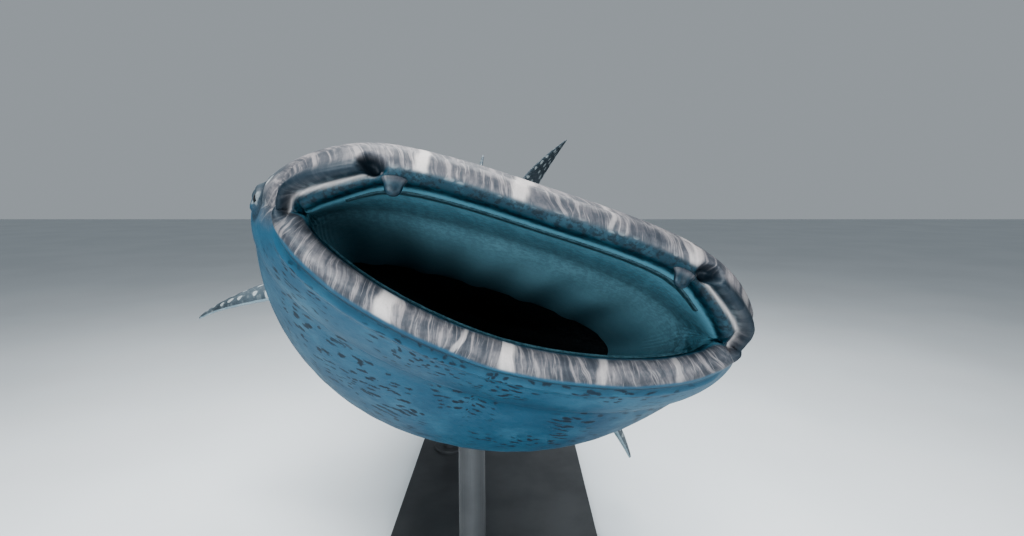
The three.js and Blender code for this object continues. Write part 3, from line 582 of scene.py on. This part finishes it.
def fin_section():
    """A rounded leading edge and a fine trailing edge: chord places and half thicknesses."""
    turn = np.arange(FIN_POINTS) / FIN_POINTS * 2 * math.pi
    chord = 0.5 - 0.5 * np.cos(turn)
    half = 0.2969 * np.sqrt(chord) - 0.126 * chord - 0.3516 * chord**2 + 0.2843 * chord**3 - 0.1015 * chord**4
    return chord * 0.97, np.where(turn < math.pi, 1, -1) * half / 0.10003


def fin_rings(
    root, reach, trail, face, span, chord, sweep, thick, sink, curl=0.0, waist=1.6, lean=0.62, flare=1.2
):
    """Rings of a fin from inside the body to its tip, with each point's share of span and of chord."""
    inner, outer = np.linspace(-sink / span, 0.2, 12), np.linspace(0.2, 0.94, 26)[1:]
    stations = np.concatenate([inner, outer, [0.96, 0.975, 0.985, 0.992]])
    w = np.maximum(stations, 0)
    lead = sweep * w**1.25
    trailing = chord + (sweep + chord * 0.1 - chord) * w**lean
    narrow = np.sqrt(np.maximum(0, 1 - w**6))
    middle = (lead + trailing) / 2 - chord * 0.12 * np.sin(math.pi * w) ** waist
    root_swell = bell(w * span, 0, 0.05 + span * 0.05)
    full = np.maximum((trailing - lead) * narrow, chord * 0.03) * (1 + 0.12 * root_swell)
    start = middle - full / 2
    flesh = np.maximum(thick / 2 * (1 - w * 0.72) * (0.35 + 0.65 * narrow), 0.004) * (1 + flare * root_swell)
    bend = curl * w * w * span
    c, t = fin_section()
    points = (
        root
        + reach * (stations * span)[:, None, None]
        + trail * (start[:, None] + c[None, :] * full[:, None])[..., None]
        + face * (t[None, :] * flesh[:, None] + bend[:, None])[..., None]
    )
    return points, np.broadcast_to(stations[:, None], points.shape[:2]), np.broadcast_to(c, points.shape[:2])


def body_fin(s, angle, outward, inset, pitch=0, **shape):
    x, z = (float(c) for c in body_section(s, math.radians(angle)))
    inner = 1 - inset / math.hypot(x, z)
    tail, left, back = spine_axes(s)
    turn, tilt = math.radians(outward), math.radians(pitch)
    reach = left * math.sin(turn) + back * math.cos(turn)
    trail = tail * math.cos(tilt) + np.cross(reach, tail) * math.sin(tilt)
    face = np.cross(trail, reach)
    return fin_rings(place(s, x * inner, z * inner), reach, trail, face / np.linalg.norm(face), **shape)


def tail_fin(s, rise, slant, **shape):
    tail, left, back = spine_axes(s)
    turn = math.radians(slant)
    reach = back * (rise * math.cos(turn)) + tail * math.sin(turn)
    trail = np.cross(left, reach) * -rise
    trail = trail / np.linalg.norm(trail)
    if trail @ tail < 0:
        trail = -trail
    return fin_rings(place(s, 0, rise * CAUDAL_RISE), reach, trail, left, **shape)


def all_fins():
    fins = {name: body_fin(**shape) for name, shape in BODY_FINS.items()}
    fins.update((name, tail_fin(**shape)) for name, shape in TAIL_FINS.items())
    return fins


def nasal_flap(side):
    """Rings of the flap that hangs from the upper lip below a nostril, and how near each is to its tip."""
    angle = math.radians(FLAP["angle"]) * side
    s0, x0, z0 = (float(c) for c in lip_point(angle, math.radians(FLAP["turn"])))
    *_, out_x, out_z = (float(c) for c in lip_at(angle))
    tail, left, up = spine_axes(s0)
    across = left * (-out_z * side) + up * (out_x * side)
    turn = np.arange(FLAP_POINTS) / FLAP_POINTS * 2 * math.pi
    rings, tips = [], []
    for t in np.concatenate([np.linspace(-0.35, 0.9, 16), [0.95, 0.98, 1.0]]):
        hang = max(t, 0)
        length = t * FLAP["long"] * FLAP["trim"]
        s = s0 - length * 0.35 + length * hang * 0.3
        centre = place(s, x0 - out_x * length * 0.9, z0 - out_z * length * 0.9)
        full = math.sqrt(max(1 - hang**5, 0.002))
        wide = FLAP["narrow"] * FLAP["wide"] * full / 2 * (1 + 0.6 * float(bell(t, -0.2, 0.4)))
        thick = FLAP["thick"] * (0.3 + 0.7 * full) / 2 * (1 + 0.6 * float(bell(t, -0.1, 0.3)))
        ring = across * (np.cos(turn) * wide)[:, None] + tail * (np.sin(turn) * thick)[:, None]
        rings.append(centre + ring)
        tips.append(np.full(FLAP_POINTS, float(ease(t, 0.0, 0.45))))
    return np.array(rings), np.array(tips)


# Meshes


def make_object(name, points, faces):
    mesh = bpy.data.meshes.new(name)
    mesh.from_pydata([tuple(point) for point in points], [], faces)
    mesh.validate()
    mesh.shade_smooth()
    obj = bpy.data.objects.new(name, mesh)
    bpy.context.scene.collection.objects.link(obj)
    return obj


def signed_volume(points, quads, tris):
    faces = np.vstack([quads[:, [0, 1, 2]], quads[:, [0, 2, 3]], tris])
    a, b, c = (points[faces[:, corner]] for corner in range(3))
    return np.einsum("ij,ij->i", a, np.cross(b, c)).sum() / 6


def closed_net(rings):
    """Points, quads and end caps of a closed net of rings, with its faces turned outwards."""
    rows, count = rings.shape[:2]
    points = np.vstack([rings.reshape(-1, 3), rings[0].mean(0), rings[-1].mean(0)])
    first_cap, last_cap = rows * count, rows * count + 1
    i = np.arange(count)
    j = (i + 1) % count
    row = (np.arange(rows - 1) * count)[:, None]
    quads = np.stack([row + i, row + j, row + count + j, row + count + i], -1).reshape(-1, 4)
    last = (rows - 1) * count
    front = np.stack([j, i, np.full(count, first_cap)], -1)
    rear = np.stack([last + i, last + j, np.full(count, last_cap)], -1)
    tris = np.vstack([front, rear])
    if signed_volume(points, quads, tris) < 0:
        quads, tris = quads[:, ::-1], tris[:, ::-1]
    return points, quads, tris


def with_ends(values, girth):
    """A net's values at its points, then their means at its two caps."""
    return np.vstack([values, values[:girth].mean(0), values[-girth:].mean(0)])


class SkinParts:
    """Collects closed nets into one mesh with the paint masks and path coordinates of each point."""

    def __init__(self):
        self.points, self.quads, self.tris, self.uv = [], [], [], []
        self.masks = {layer: [] for layer in MASKS}
        self.count = 0

    def add(self, rings, u, v, **masks):
        points, quads, tris = closed_net(rings)
        rows, girth = rings.shape[:2]
        self.points.append(points)
        self.quads.append(quads + self.count)
        self.tris.append(tris + self.count)
        for layer, names in MASKS.items():
            values = [np.broadcast_to(masks.get(name, 0), (rows, girth)) for name in names]
            self.masks[layer].append(with_ends(np.stack(values, -1).reshape(-1, len(names)), girth))
        self.uv.append(with_ends(np.stack([u, v], -1).reshape(-1, 2), girth))
        self.count += len(points)

    def build(self, name):
        faces = np.vstack(self.quads).tolist() + np.vstack(self.tris).tolist()
        obj = make_object(name, np.vstack(self.points), faces)
        mesh = obj.data
        for layer, values in self.masks.items():
            colours = mesh.attributes.new(layer, "FLOAT_COLOR", "POINT")
            colours.data.foreach_set("color", np.vstack(values).astype(np.float32).ravel())
        loops = np.empty(len(mesh.loops), np.int32)
        mesh.loops.foreach_get("vertex_index", loops)
        corners = np.vstack(self.uv)[loops]
        # A face that crosses the belly's seam keeps its corners on one side
        for face in mesh.polygons:
            v = corners[face.loop_start : face.loop_start + face.loop_total, 1]
            if v.max() - v.min() > SEAM_JUMP:
                v[v < 0] += 2 * abs(v).max()
        layer = mesh.uv_layers.new(name="UVMap")
        layer.data.foreach_set("uv", corners.astype(np.float32).ravel())
        return obj


def skin_object(girth):
    net = SkinNet(girth)
    sculpt(net)
    parts = SkinParts()
    s, x, z = np.moveaxis(net.points, -1, 0)
    parts.add(place(s, x, z), *skin_map(net), **skin_masks(net))
    for name, (rings, span_share, chord_share) in all_fins().items():
        under = FIN_UNDERSIDE if name.startswith("pec") or name.startswith("pel") else 0
        below = (np.arange(FIN_POINTS) < FIN_POINTS // 2) == name.endswith("left")
        u = FIN_MAP["u"] + chord_share * FIN_MAP["chord"]
        v = FIN_MAP["v"] + span_share * FIN_MAP["span"]
        parts.add(rings, u, v, flank=1 - under * below)
    turn = np.arange(FLAP_POINTS) / FLAP_POINTS * 2 * math.pi
    for side in (1, -1):
        rings, tip = nasal_flap(side)
        ones = np.ones(rings.shape[:2])
        u, v = FLAP_MAP["u"] * ones, FLAP_MAP["v"] + np.cos(turn) * FLAP_MAP["round"] * ones
        # The flap darkens towards its tip with the painted shade under the upper lip
        parts.add(rings, u, v, flank=1, lip=1 - tip, mouth=tip, groove=0.40 + tip * 0.20, speckle=1)
    return parts.build("shark_skin")


# Shader maths


class Value:
    """A socket in a material's tree. Arithmetic on it adds Math nodes."""

    def __init__(self, tree, socket):
        self.tree, self.socket = tree, socket

    def maths(self, operation, *numbers):
        return self.tree.node("ShaderNodeMath", {"operation": operation}, dict(enumerate(numbers)))

    def __add__(self, other):
        return self.maths("ADD", self, other)

    def __sub__(self, other):
        return self.maths("SUBTRACT", self, other)

    def __rsub__(self, other):
        return self.maths("SUBTRACT", other, self)

    def __mul__(self, other):
        return self.maths("MULTIPLY", self, other)

    __radd__, __rmul__ = __add__, __mul__

    def most(self, other):
        return self.maths("MAXIMUM", self, other)

    def absolute(self):
        return self.maths("ABSOLUTE", self)

    def fraction(self):
        return self.maths("FRACT", self)

    def clamp(self):
        return self.tree.node("ShaderNodeClamp", {}, {"Value": self})

    def between(self, low, high):
        inputs = {"Value": self, "From Min": low, "From Max": high}
        return self.tree.node("ShaderNodeMapRange", {"interpolation_type": "SMOOTHSTEP"}, inputs)

    def siblings(self):
        """Every output of the node that this one comes from."""
        return [Value(self.tree, socket) for socket in self.socket.node.outputs]


class Tree:
    """A material and the few ways its nodes are made."""

    def __init__(self, name):
        self.material = bpy.data.materials.new(name)
        self.material.use_nodes = True
        self.nodes, self.links = self.material.node_tree.nodes, self.material.node_tree.links
        self.shader = self.nodes["Principled BSDF"]

    def feed(self, socket, value):
        if isinstance(value, Value):
            self.links.new(value.socket, socket)
        elif socket.type == "RGBA":
            socket.default_value = (*value, 1)
        else:
            socket.default_value = value

    def node(self, kind, settings, inputs, output=0):
        made = self.nodes.new(kind)
        for key, value in settings.items():
            setattr(made, key, value)
        for key, value in inputs.items():
            self.feed(made.inputs[key], value)
        return Value(self, made.outputs[output])

    def attribute(self, name):
        """The four numbers of a point attribute."""
        colour = self.node("ShaderNodeAttribute", {"attribute_name": name}, {})
        alpha = colour.siblings()[3]
        return [*self.channels(colour), alpha]

    def channels(self, colour):
        return self.node("ShaderNodeSeparateColor", {}, {0: colour}).siblings()

    def split(self, vector):
        return self.node("ShaderNodeSeparateXYZ", {}, {0: vector}).siblings()

    def join(self, x, y, z):
        return self.node("ShaderNodeCombineXYZ", {}, {0: x, 1: y, 2: z})

    def place(self, socket):
        return self.node("ShaderNodeTexCoord", {}, {}, socket)

    def moved(self, vector, scale=(1, 1, 1), location=(0, 0, 0)):
        return self.node("ShaderNodeMapping", {}, {"Vector": vector, "Scale": scale, "Location": location})

    def noise(self, vector, scale, detail, roughness, distortion=0.0, dimensions="3D"):
        inputs = {"Scale": scale, "Detail": detail, "Roughness": roughness, "Distortion": distortion}
        return self.node("ShaderNodeTexNoise", {"noise_dimensions": dimensions}, {"Vector": vector, **inputs})

    def cells(self, vector, scale, randomness, dimensions="2D"):
        inputs = {"Vector": vector, "Scale": scale, "Randomness": randomness}
        return self.node("ShaderNodeTexVoronoi", {"voronoi_dimensions": dimensions}, inputs)

    def mix(self, factor, a, b):
        return self.node("ShaderNodeMix", {"data_type": "RGBA"}, {0: factor, 6: a, 7: b}, 2)

    def bump(self, height, strength, distance):
        return self.node("ShaderNodeBump", {}, {"Height": height, "Strength": strength, "Distance": distance})

    def finish(self, **sockets):
        for key, value in sockets.items():
            self.feed(self.shader.inputs[key.replace("_", " ")], value)
        return self.material


# The skin's paint


def skin_fields(m):
    """What the paint is worked out from: the net's masks, the path coordinates and shared noise."""
    flank, lip, mouth, rim = m.attribute("regions")
    groove, speckle, deep, _ = m.attribute("marks")
    uv, where = m.place("UV"), m.place("Object")
    u, v, _ = m.split(uv)
    warp = m.noise(uv, 3.1, 3, 0.5, dimensions="2D")
    streak_place = m.join(v * 44.0 + u * 13.0 + (warp - 0.5) * 5.5, u * 3.2, 0.0)
    return SimpleNamespace(
        flank=flank, lip=lip, mouth=mouth, rim=rim, groove=groove, speckle=speckle, deep=deep,
        uv=uv, u=u, v=v, where=where, warp=warp,
        coarse=m.noise(where, 2.2, 5, 0.6),
        fine=m.noise(where, 26, 5, 0.62),
        grain=m.noise(where, 210, 3, 0.6),
        ragged=m.noise(where, 70, 4, 0.7),
        mottled=m.noise(where, 17, 4, 0.65),
        warp_v=m.noise(m.moved(uv, location=(7.3, 2.9, 0)), 3.1, 3, 0.5, dimensions="2D"),
        streak=m.noise(streak_place, 1.0, 4, 0.68, 0.2, dimensions="2D"),
    )


def spots_and_bars(m, f):
    """Rows of pale spots between thin pale bars and lines, and finer spots on the head."""
    u = f.u + (f.warp - 0.5) * 0.10
    v = f.v + (f.warp_v - 0.5) * 0.08
    pattern = m.join(u, v, 0.0)
    distance, tint, *_ = m.cells(m.moved(pattern, scale=(7.4, 8.6, 1)), 1.0, 0.42).siblings()
    size = m.channels(tint)[0]
    big_spot = 1 - (distance - size * 0.10).between(0.13, 0.20)
    small_spot = 1 - m.cells(m.moved(pattern, scale=(21, 21, 1)), 1.0, 0.85).between(0.17, 0.29)
    body_share = f.u.between(0.45, 1.1)
    fin_share = f.u.between(6.6, 6.8)
    bars = 1 - ((u * 3.6).fraction() - 0.5).absolute().between(0.028, 0.055)
    broken = m.noise(m.moved(f.uv, scale=(3.0, 6.0, 1)), 1.0, 3, 0.6, dimensions="2D").between(0.42, 0.52)
    lines = 1 - ((v * 2.9).fraction() - 0.5).absolute().between(0.016, 0.034)
    stripes = (bars * broken * 0.85).most(lines * (1 - broken) * 0.6) * body_share * (1 - fin_share)
    spots = (big_spot * body_share).most(small_spot * (1 - body_share * 0.75) * 0.75)
    return spots.most(stripes) * (0.72 + 0.28 * f.fine) * (1 - fin_share * 0.35)


def back_colour(m, f, marking, paint):
    """Dark slate under the pale markings."""
    slate = m.mix(f.coarse.between(0.3, 0.7), paint["slate_dark"], paint["slate_light"])
    slate = m.mix(f.fine.between(0.35, 0.75) * 0.35, slate, paint["slate_dark"])
    return m.mix(marking.clamp(), slate, paint["spot"])


def belly_colour(m, f, paint):
    """Dark teal on the throat as painted shade, paler and cool behind the gills, with dark flecks and stains
    on the throat.
    """
    # The throat's dark tones are painted shade, giving way to the paler belly behind the gills
    belly = m.mix(f.coarse.between(0.25, 0.75), paint["belly_light"], paint["belly_deep"])
    belly = m.mix(f.u.between(0.9, 2.6), belly, paint["belly_rear"])
    cloud = m.noise(f.where, 7.0, 4, 0.6)
    belly = m.mix(cloud.between(0.45, 0.75) * 0.4, belly, paint["belly_glow"])
    dash_place = m.join(f.v * 19.0 + (f.warp - 0.5) * 4.0, f.u * 38.0 + (f.warp_v - 0.5) * 6.0, 0.0)
    dash = m.cells(dash_place, 1.0, 1.0) - (f.ragged - 0.5) * 0.8
    scatter = m.noise(f.where, 5.5, 3, 0.5)
    fleck = 1 - (dash - (scatter - 0.5) * 0.5).between(0.12, 0.26)
    belly = m.mix((fleck * scatter.between(0.38, 0.54) * f.speckle * 0.95).clamp(), belly, paint["fleck"])
    stain = m.noise(f.where, 31, 5, 0.7).between(0.50, 0.68)
    return m.mix(stain * f.speckle * 0.30, belly, paint["belly_deep"])


def lip_colour(m, f, paint):
    """Grey, with painted light in thin pale streaks and a few broad pale bars, dark streaks between them, and
    painted shade on the roll towards the mouth.
    """
    thin_place = m.join(f.v * 110.0 + f.u * 30.0 + (f.warp_v - 0.5) * 11.0, f.u * 4.0, 4.0)
    thin = m.noise(thin_place, 1.0, 3, 0.6, 0.1, dimensions="2D")
    # Thin pale streaks of painted light
    light_streaks = f.streak.between(0.53, 0.64).most(thin.between(0.60, 0.68) * 0.85)
    grey = m.mix(f.mottled.between(0.35, 0.68), paint["lip_dark"], paint["lip_mid"])
    grey = m.mix(f.streak.between(0.50, 0.36) * 0.55, grey, paint["lip_shadow"])
    grey = m.mix(light_streaks * 0.50, grey, paint["lip_pale"])
    # Painted shade on the lips' roll, darker towards the mouth
    grey = m.mix(f.u.between(-0.270, -0.345) * 0.62, grey, paint["lip_shadow"])
    slanted = f.v + (f.warp - 0.5) * 0.16 + (f.streak - 0.5) * 0.03
    # Broad bars of painted light
    broad = 0.0
    for angle, half, strength in LIGHT_BARS:
        away = (slanted - brow_arc(angle)).absolute()
        broad = (1 - away.between(half * 0.5, half * 1.5)) * strength + broad
    return m.mix(broad.clamp(), grey, paint["lip_bar"])


def mouth_colour(m, f, paint):
    """Cool pale roof, darkened towards the pads and just behind the lips as painted shade, with dark marbling
    near the lips.
    """
    # Painted shade: the roof darkens going into the mouth, and again just behind the lips; the coarse
    # mottling is the skin's own
    roof = m.mix(f.u.between(-1.60, -0.75), paint["mouth_cool"], paint["mouth_pale"])
    roof = m.mix(f.u.between(-0.66, -0.50) * 0.75, roof, paint["mouth_cool"])
    roof = m.mix(f.coarse.between(0.35, 0.7) * 0.35, roof, paint["mouth_cool"])
    roof = m.mix(f.deep.between(0.0, 0.9), roof, paint["mouth_deep"])
    # Dark blotches on the side walls near the corners, partly mottling, partly painted shade
    blotch = m.noise(f.where, 24, 5, 0.65).between(0.42, 0.60)
    blotch = blotch * f.u.between(-0.85, -0.55) * f.u.between(-0.36, -0.46)
    roof = m.mix(blotch * f.v.absolute().between(0.55, 0.95) * 0.75, roof, paint["under_lip"])
    marble = (f.ragged + f.streak * 0.4).between(0.60, 0.78)
    marble = marble * f.u.between(-0.95, -0.5) * f.u.between(-0.36, -0.48)
    roof = m.mix(marble * 0.30, roof, paint["mouth_mark"])
    # Painted shade under the upper lip and at the inner edge of the lower lip, flecked
    under = f.speckle * (0.80 + 0.20 * f.mottled.between(0.40, 0.60))
    roof = m.mix((under * 1.15).clamp(), roof, paint["under_lip"])
    return m.mix((f.ragged.between(0.46, 0.60) * under * 0.9).clamp(), roof, paint["mouth_mark"])


def skin_material(paint):
    m = Tree("shark_skin")
    f = skin_fields(m)
    marking = spots_and_bars(m, f)
    edge = m.noise(f.where, 9.0, 4, 0.7)
    flank_share = (f.flank + (edge - 0.5) * 0.9).between(0.35, 0.65)
    outside = m.mix(flank_share, belly_colour(m, f, paint), back_colour(m, f, marking, paint))
    lip_share = (f.lip + (f.mottled - 0.5) * 0.35 * f.lip * (1 - f.lip) * 4.0).clamp()
    outside = m.mix(lip_share, outside, lip_colour(m, f, paint))
    colour = m.mix(f.mouth, outside, mouth_colour(m, f, paint))
    # A painted highlight along the rim of the labial fold
    colour = m.mix((f.rim * 0.85).clamp(), colour, paint["lip_bar"])
    # Painted shade in furrows, pits, slits, creases and gutters
    colour = m.mix((f.groove * 0.92).clamp(), colour, paint["groove"])
    colour = m.mix(f.grain.between(0.3, 0.8) * 0.12, colour, paint["slate_dark"])

    # Soft folds, a fine grain like that of real denticles, and spots that stand up a little
    height = f.fine * 0.6 + f.grain * 0.22 + marking.clamp() * 0.25
    rough = 0.44 + f.fine * 0.18 - f.mouth * 0.10
    normal = m.bump(height, 0.35, 0.004)
    gloss = {"Specular_IOR_Level": 0.26, "Coat_Weight": 0.05, "Coat_Roughness": 0.25}
    return m.finish(Base_Color=colour, Roughness=rough, Normal=normal, **gloss)


# Finishes of the other pieces


def eye_material():
    m = Tree("shark_eye")
    fine = m.noise(m.place("Object"), 320, 4, 0.6)
    colour = m.mix(fine.between(0.4, 0.7), *TONES["eye"])
    gloss = {"Specular_IOR_Level": 0.3, "Coat_Weight": 0.3, "Coat_Roughness": 0.04}
    return m.finish(Base_Color=colour, Roughness=0.20 + fine * 0.08, **gloss)


def pad_material():
    m = Tree("filter_pad")
    where = m.place("Object")
    pores = m.cells(where, 90, 1.0, dimensions="3D")
    clumps = m.noise(where, 16, 4, 0.6)
    colour = m.mix(clumps.between(0.35, 0.7), *TONES["pad"])
    normal = m.bump(pores + clumps * 0.5, 0.7, 0.006)
    return m.finish(Base_Color=colour, Roughness=0.75 + clumps * 0.1, Normal=normal)


def tooth_material():
    m = Tree("tooth")
    fine = m.noise(m.place("Object"), 120, 3, 0.6)
    colour = m.mix(fine.between(0.35, 0.7), *TONES["tooth"])
    return m.finish(Base_Color=colour, Roughness=0.35 + fine * 0.2)


def stand_material():
    m = Tree("stand_paint")
    where = m.place("Object")
    fleck = m.noise(where, 180, 3, 0.6)
    broad = m.noise(where, 3.0, 4, 0.6)
    colour = m.mix(broad.between(0.3, 0.7), *TONES["stand"])
    normal = m.bump(fleck, 0.12, 0.001)
    return m.finish(Base_Color=colour, Roughness=0.38 + fleck * 0.14, Normal=normal, Metallic=0.25)


def floor_material():
    m = Tree("floor")
    broad = m.noise(m.place("Object"), 0.4, 4, 0.5)
    colour = m.mix(broad.between(0.3, 0.7), *TONES["floor"])
    return m.finish(Base_Color=colour, Roughness=0.55 + broad * 0.1)


def dress(node, material):
    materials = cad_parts[node].data.materials
    materials.clear()
    materials.append(material)


# Stage


def add_floor():
    corners = [(x * FLOOR_HALF, y * FLOOR_HALF, 0) for x, y in ((-1, -1), (1, -1), (1, 1), (-1, 1))]
    floor = make_object("floor", corners, [(0, 1, 2, 3)])
    floor.data.materials.append(floor_material())


def add_studio(scene):
    world = bpy.data.worlds.new("studio")
    world.use_nodes = True
    colour, strength = world.node_tree.nodes["Background"].inputs[:2]
    colour.default_value = STUDIO_COLOUR
    strength.default_value = STUDIO_STRENGTH
    scene.world = world
    scene.view_settings.view_transform = "AgX"
    scene.view_settings.look = "AgX - High Contrast"


def add_light(scene, name, spot, size, power, colour):
    lamp = bpy.data.lights.new(name, "AREA")
    lamp.shape, lamp.size, lamp.energy, lamp.color = "DISK", size, power, colour
    obj = bpy.data.objects.new(name, lamp)
    obj.location = spot
    obj.rotation_euler = (LIGHT_AIM - Vector(spot)).to_track_quat("-Z", "Y").to_euler()
    scene.collection.objects.link(obj)


def add_camera(scene, settings):
    camera = bpy.data.cameras.new("camera")
    camera.lens, camera.sensor_width = settings.camera_lens, SENSOR_WIDTH
    camera.clip_start, camera.clip_end = 0.05, 200
    obj = bpy.data.objects.new("camera", camera)
    obj.location = settings.camera_place
    obj.rotation_euler = (math.pi / 2 + settings.camera_pitch, 0, 0)
    scene.collection.objects.link(obj)
    scene.camera = obj


# Settings


def tone(name, description, default):
    return FloatVectorProperty(name=name, description=description, subtype="COLOR", default=default)


class SharkSkinSettings(bpy.types.PropertyGroup):
    girth: IntProperty(
        name="Girth steps", description="Points round the body in the net", default=256, min=64, max=400
    )
    slate_dark: tone("Slate, dark", "Darkest tone of the back", (0.035, 0.050, 0.062))
    slate_light: tone("Slate, light", "Lightest tone of the back", (0.085, 0.110, 0.130))
    spot: tone("Spots", "Tone of the pale spots and bars", (0.44, 0.48, 0.49))
    # Painted shade: the dark teal tones of the throat
    belly_light: tone("Belly, light", "Light tone of the belly", (0.024, 0.082, 0.128))
    belly_deep: tone("Belly, deep", "Deep tone of the belly", (0.008, 0.043, 0.080))
    belly_glow: tone("Belly clouds", "Pale clouds on the throat", (0.052, 0.140, 0.195))
    belly_rear: tone("Belly, rear", "Tone of the belly behind the gills", (0.24, 0.31, 0.35))
    fleck: tone("Flecks", "Dark flecks on the throat", (0.002, 0.011, 0.022))
    lip_dark: tone("Lip, dark", "Dark mottling of the lips", (0.045, 0.049, 0.058))
    lip_mid: tone("Lip, middle", "Main tone of the lips", (0.120, 0.115, 0.122))
    # Also the painted shade on the lips' roll towards the mouth
    lip_shadow: tone("Lip, shadow", "Darkest streaks of the lips", (0.022, 0.027, 0.036))
    # Painted light: the thin pale streaks and broad pale bars of the lips, and the highlight along the labial
    # fold's rim
    lip_pale: tone("Lip, pale", "Thin pale streaks of the lips", (0.25, 0.23, 0.23))
    lip_bar: tone("Lip, bars", "The broad bars across the lips", (0.38, 0.355, 0.345))
    mouth_pale: tone("Mouth, pale", "Pale tone inside the mouth", (0.19, 0.345, 0.41))
    # The cool tone is partly mottling, partly painted shade in the mouth; the deep tone is painted shade far
    # inside
    mouth_cool: tone("Mouth, cool", "Cool tone inside the mouth", (0.090, 0.20, 0.255))
    mouth_deep: tone("Mouth, deep", "Tone far inside the mouth", (0.004, 0.018, 0.028))
    # Painted shade under the upper lip and at the inner edge of the lower lip
    under_lip: tone("Under the lip", "Cool tone under the upper lip", (0.007, 0.029, 0.044))
    mouth_mark: tone("Mouth marks", "Dark marbling inside the lips", (0.002, 0.009, 0.015))
    # Painted shade in furrows, pits, slits and creases
    groove: tone("Grooves", "Tone of furrows, nostrils and gill slits", (0.006, 0.016, 0.026))


class SharkStageSettings(bpy.types.PropertyGroup):
    camera_place: FloatVectorProperty(
        name="Camera place",
        description="Where the camera stands",
        subtype="TRANSLATION",
        unit="LENGTH",
        default=(0.1217, -3.934, 2.385),
    )
    camera_pitch: FloatProperty(
        name="Camera pitch", description="How far it looks up", subtype="ANGLE", default=math.radians(-8)
    )
    camera_lens: FloatProperty(
        name="Focal length", description="Focal length on a sensor 36 mm wide, in millimetres", default=20.04
    )


# Operators


class SHARK_OT_skin(bpy.types.Operator):
    """Builds the shark's skin as one piece, with its fins, lips and mouth"""

    bl_idname = "shark.skin"
    bl_label = "Skin"

    def execute(self, context):
        settings = context.scene.shark_skin
        paint = {name: tuple(getattr(settings, name)) for name in settings.__annotations__ if name != "girth"}
        skin = skin_object(settings.girth)
        skin.data.materials.append(skin_material(paint))
        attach(skin, "root")
        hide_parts(*FLESH)
        return {"FINISHED"}


class SHARK_OT_eyes(bpy.types.Operator):
    """Gives the eyes their dark wet finish"""

    bl_idname = "shark.eyes"
    bl_label = "Eyes"

    def execute(self, context):
        material = eye_material()
        for node in ("eye_left", "eye_right"):
            dress(node, material)
        return {"FINISHED"}


class SHARK_OT_mouth(bpy.types.Operator):
    """Finishes the filter pads and the two bands of teeth"""

    bl_idname = "shark.mouth"
    bl_label = "Mouth"

    def execute(self, context):
        dress("filter_pads", pad_material())
        material = tooth_material()
        for node in ("tooth_band_upper", "tooth_band_lower"):
            dress(node, material)
        return {"FINISHED"}


class SHARK_OT_stand(bpy.types.Operator):
    """Paints the display stand"""

    bl_idname = "shark.stand"
    bl_label = "Stand"

    def execute(self, context):
        material = stand_material()
        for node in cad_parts:
            if node.startswith("stand_"):
                dress(node, material)
        return {"FINISHED"}


class SHARK_OT_stage(bpy.types.Operator):
    """Sets the floor, the soft studio light and the camera"""

    bl_idname = "shark.stage"
    bl_label = "Stage"

    def execute(self, context):
        add_floor()
        add_studio(context.scene)
        for name, light in LIGHTS.items():
            add_light(context.scene, name, *light)
        add_camera(context.scene, context.scene.shark_stage)
        return {"FINISHED"}


class SHARK_PT_panel(bpy.types.Panel):
    bl_label = "Whale shark"
    bl_idname = "SHARK_PT_panel"
    bl_space_type = "VIEW_3D"
    bl_region_type = "UI"
    bl_category = "Whale shark"

    def draw(self, context):
        for operator in OPERATORS:
            self.layout.operator(operator.bl_idname)
        for settings in (context.scene.shark_skin, context.scene.shark_stage):
            for name in settings.__annotations__:
                self.layout.prop(settings, name)


OPERATORS = (SHARK_OT_stage, SHARK_OT_skin, SHARK_OT_eyes, SHARK_OT_mouth, SHARK_OT_stand)
CLASSES = (SharkSkinSettings, SharkStageSettings, *OPERATORS, SHARK_PT_panel)


def register():
    for cls in CLASSES:
        bpy.utils.register_class(cls)
    bpy.types.Scene.shark_skin = PointerProperty(type=SharkSkinSettings)
    bpy.types.Scene.shark_stage = PointerProperty(type=SharkStageSettings)


def unregister():
    del bpy.types.Scene.shark_skin
    del bpy.types.Scene.shark_stage
    for cls in reversed(CLASSES):
        bpy.utils.unregister_class(cls)


def main():
    register()
    for step in ("stage", "skin", "eyes", "mouth", "stand"):
        getattr(bpy.ops.shark, step)()


if __name__ == "__main__":
    main()
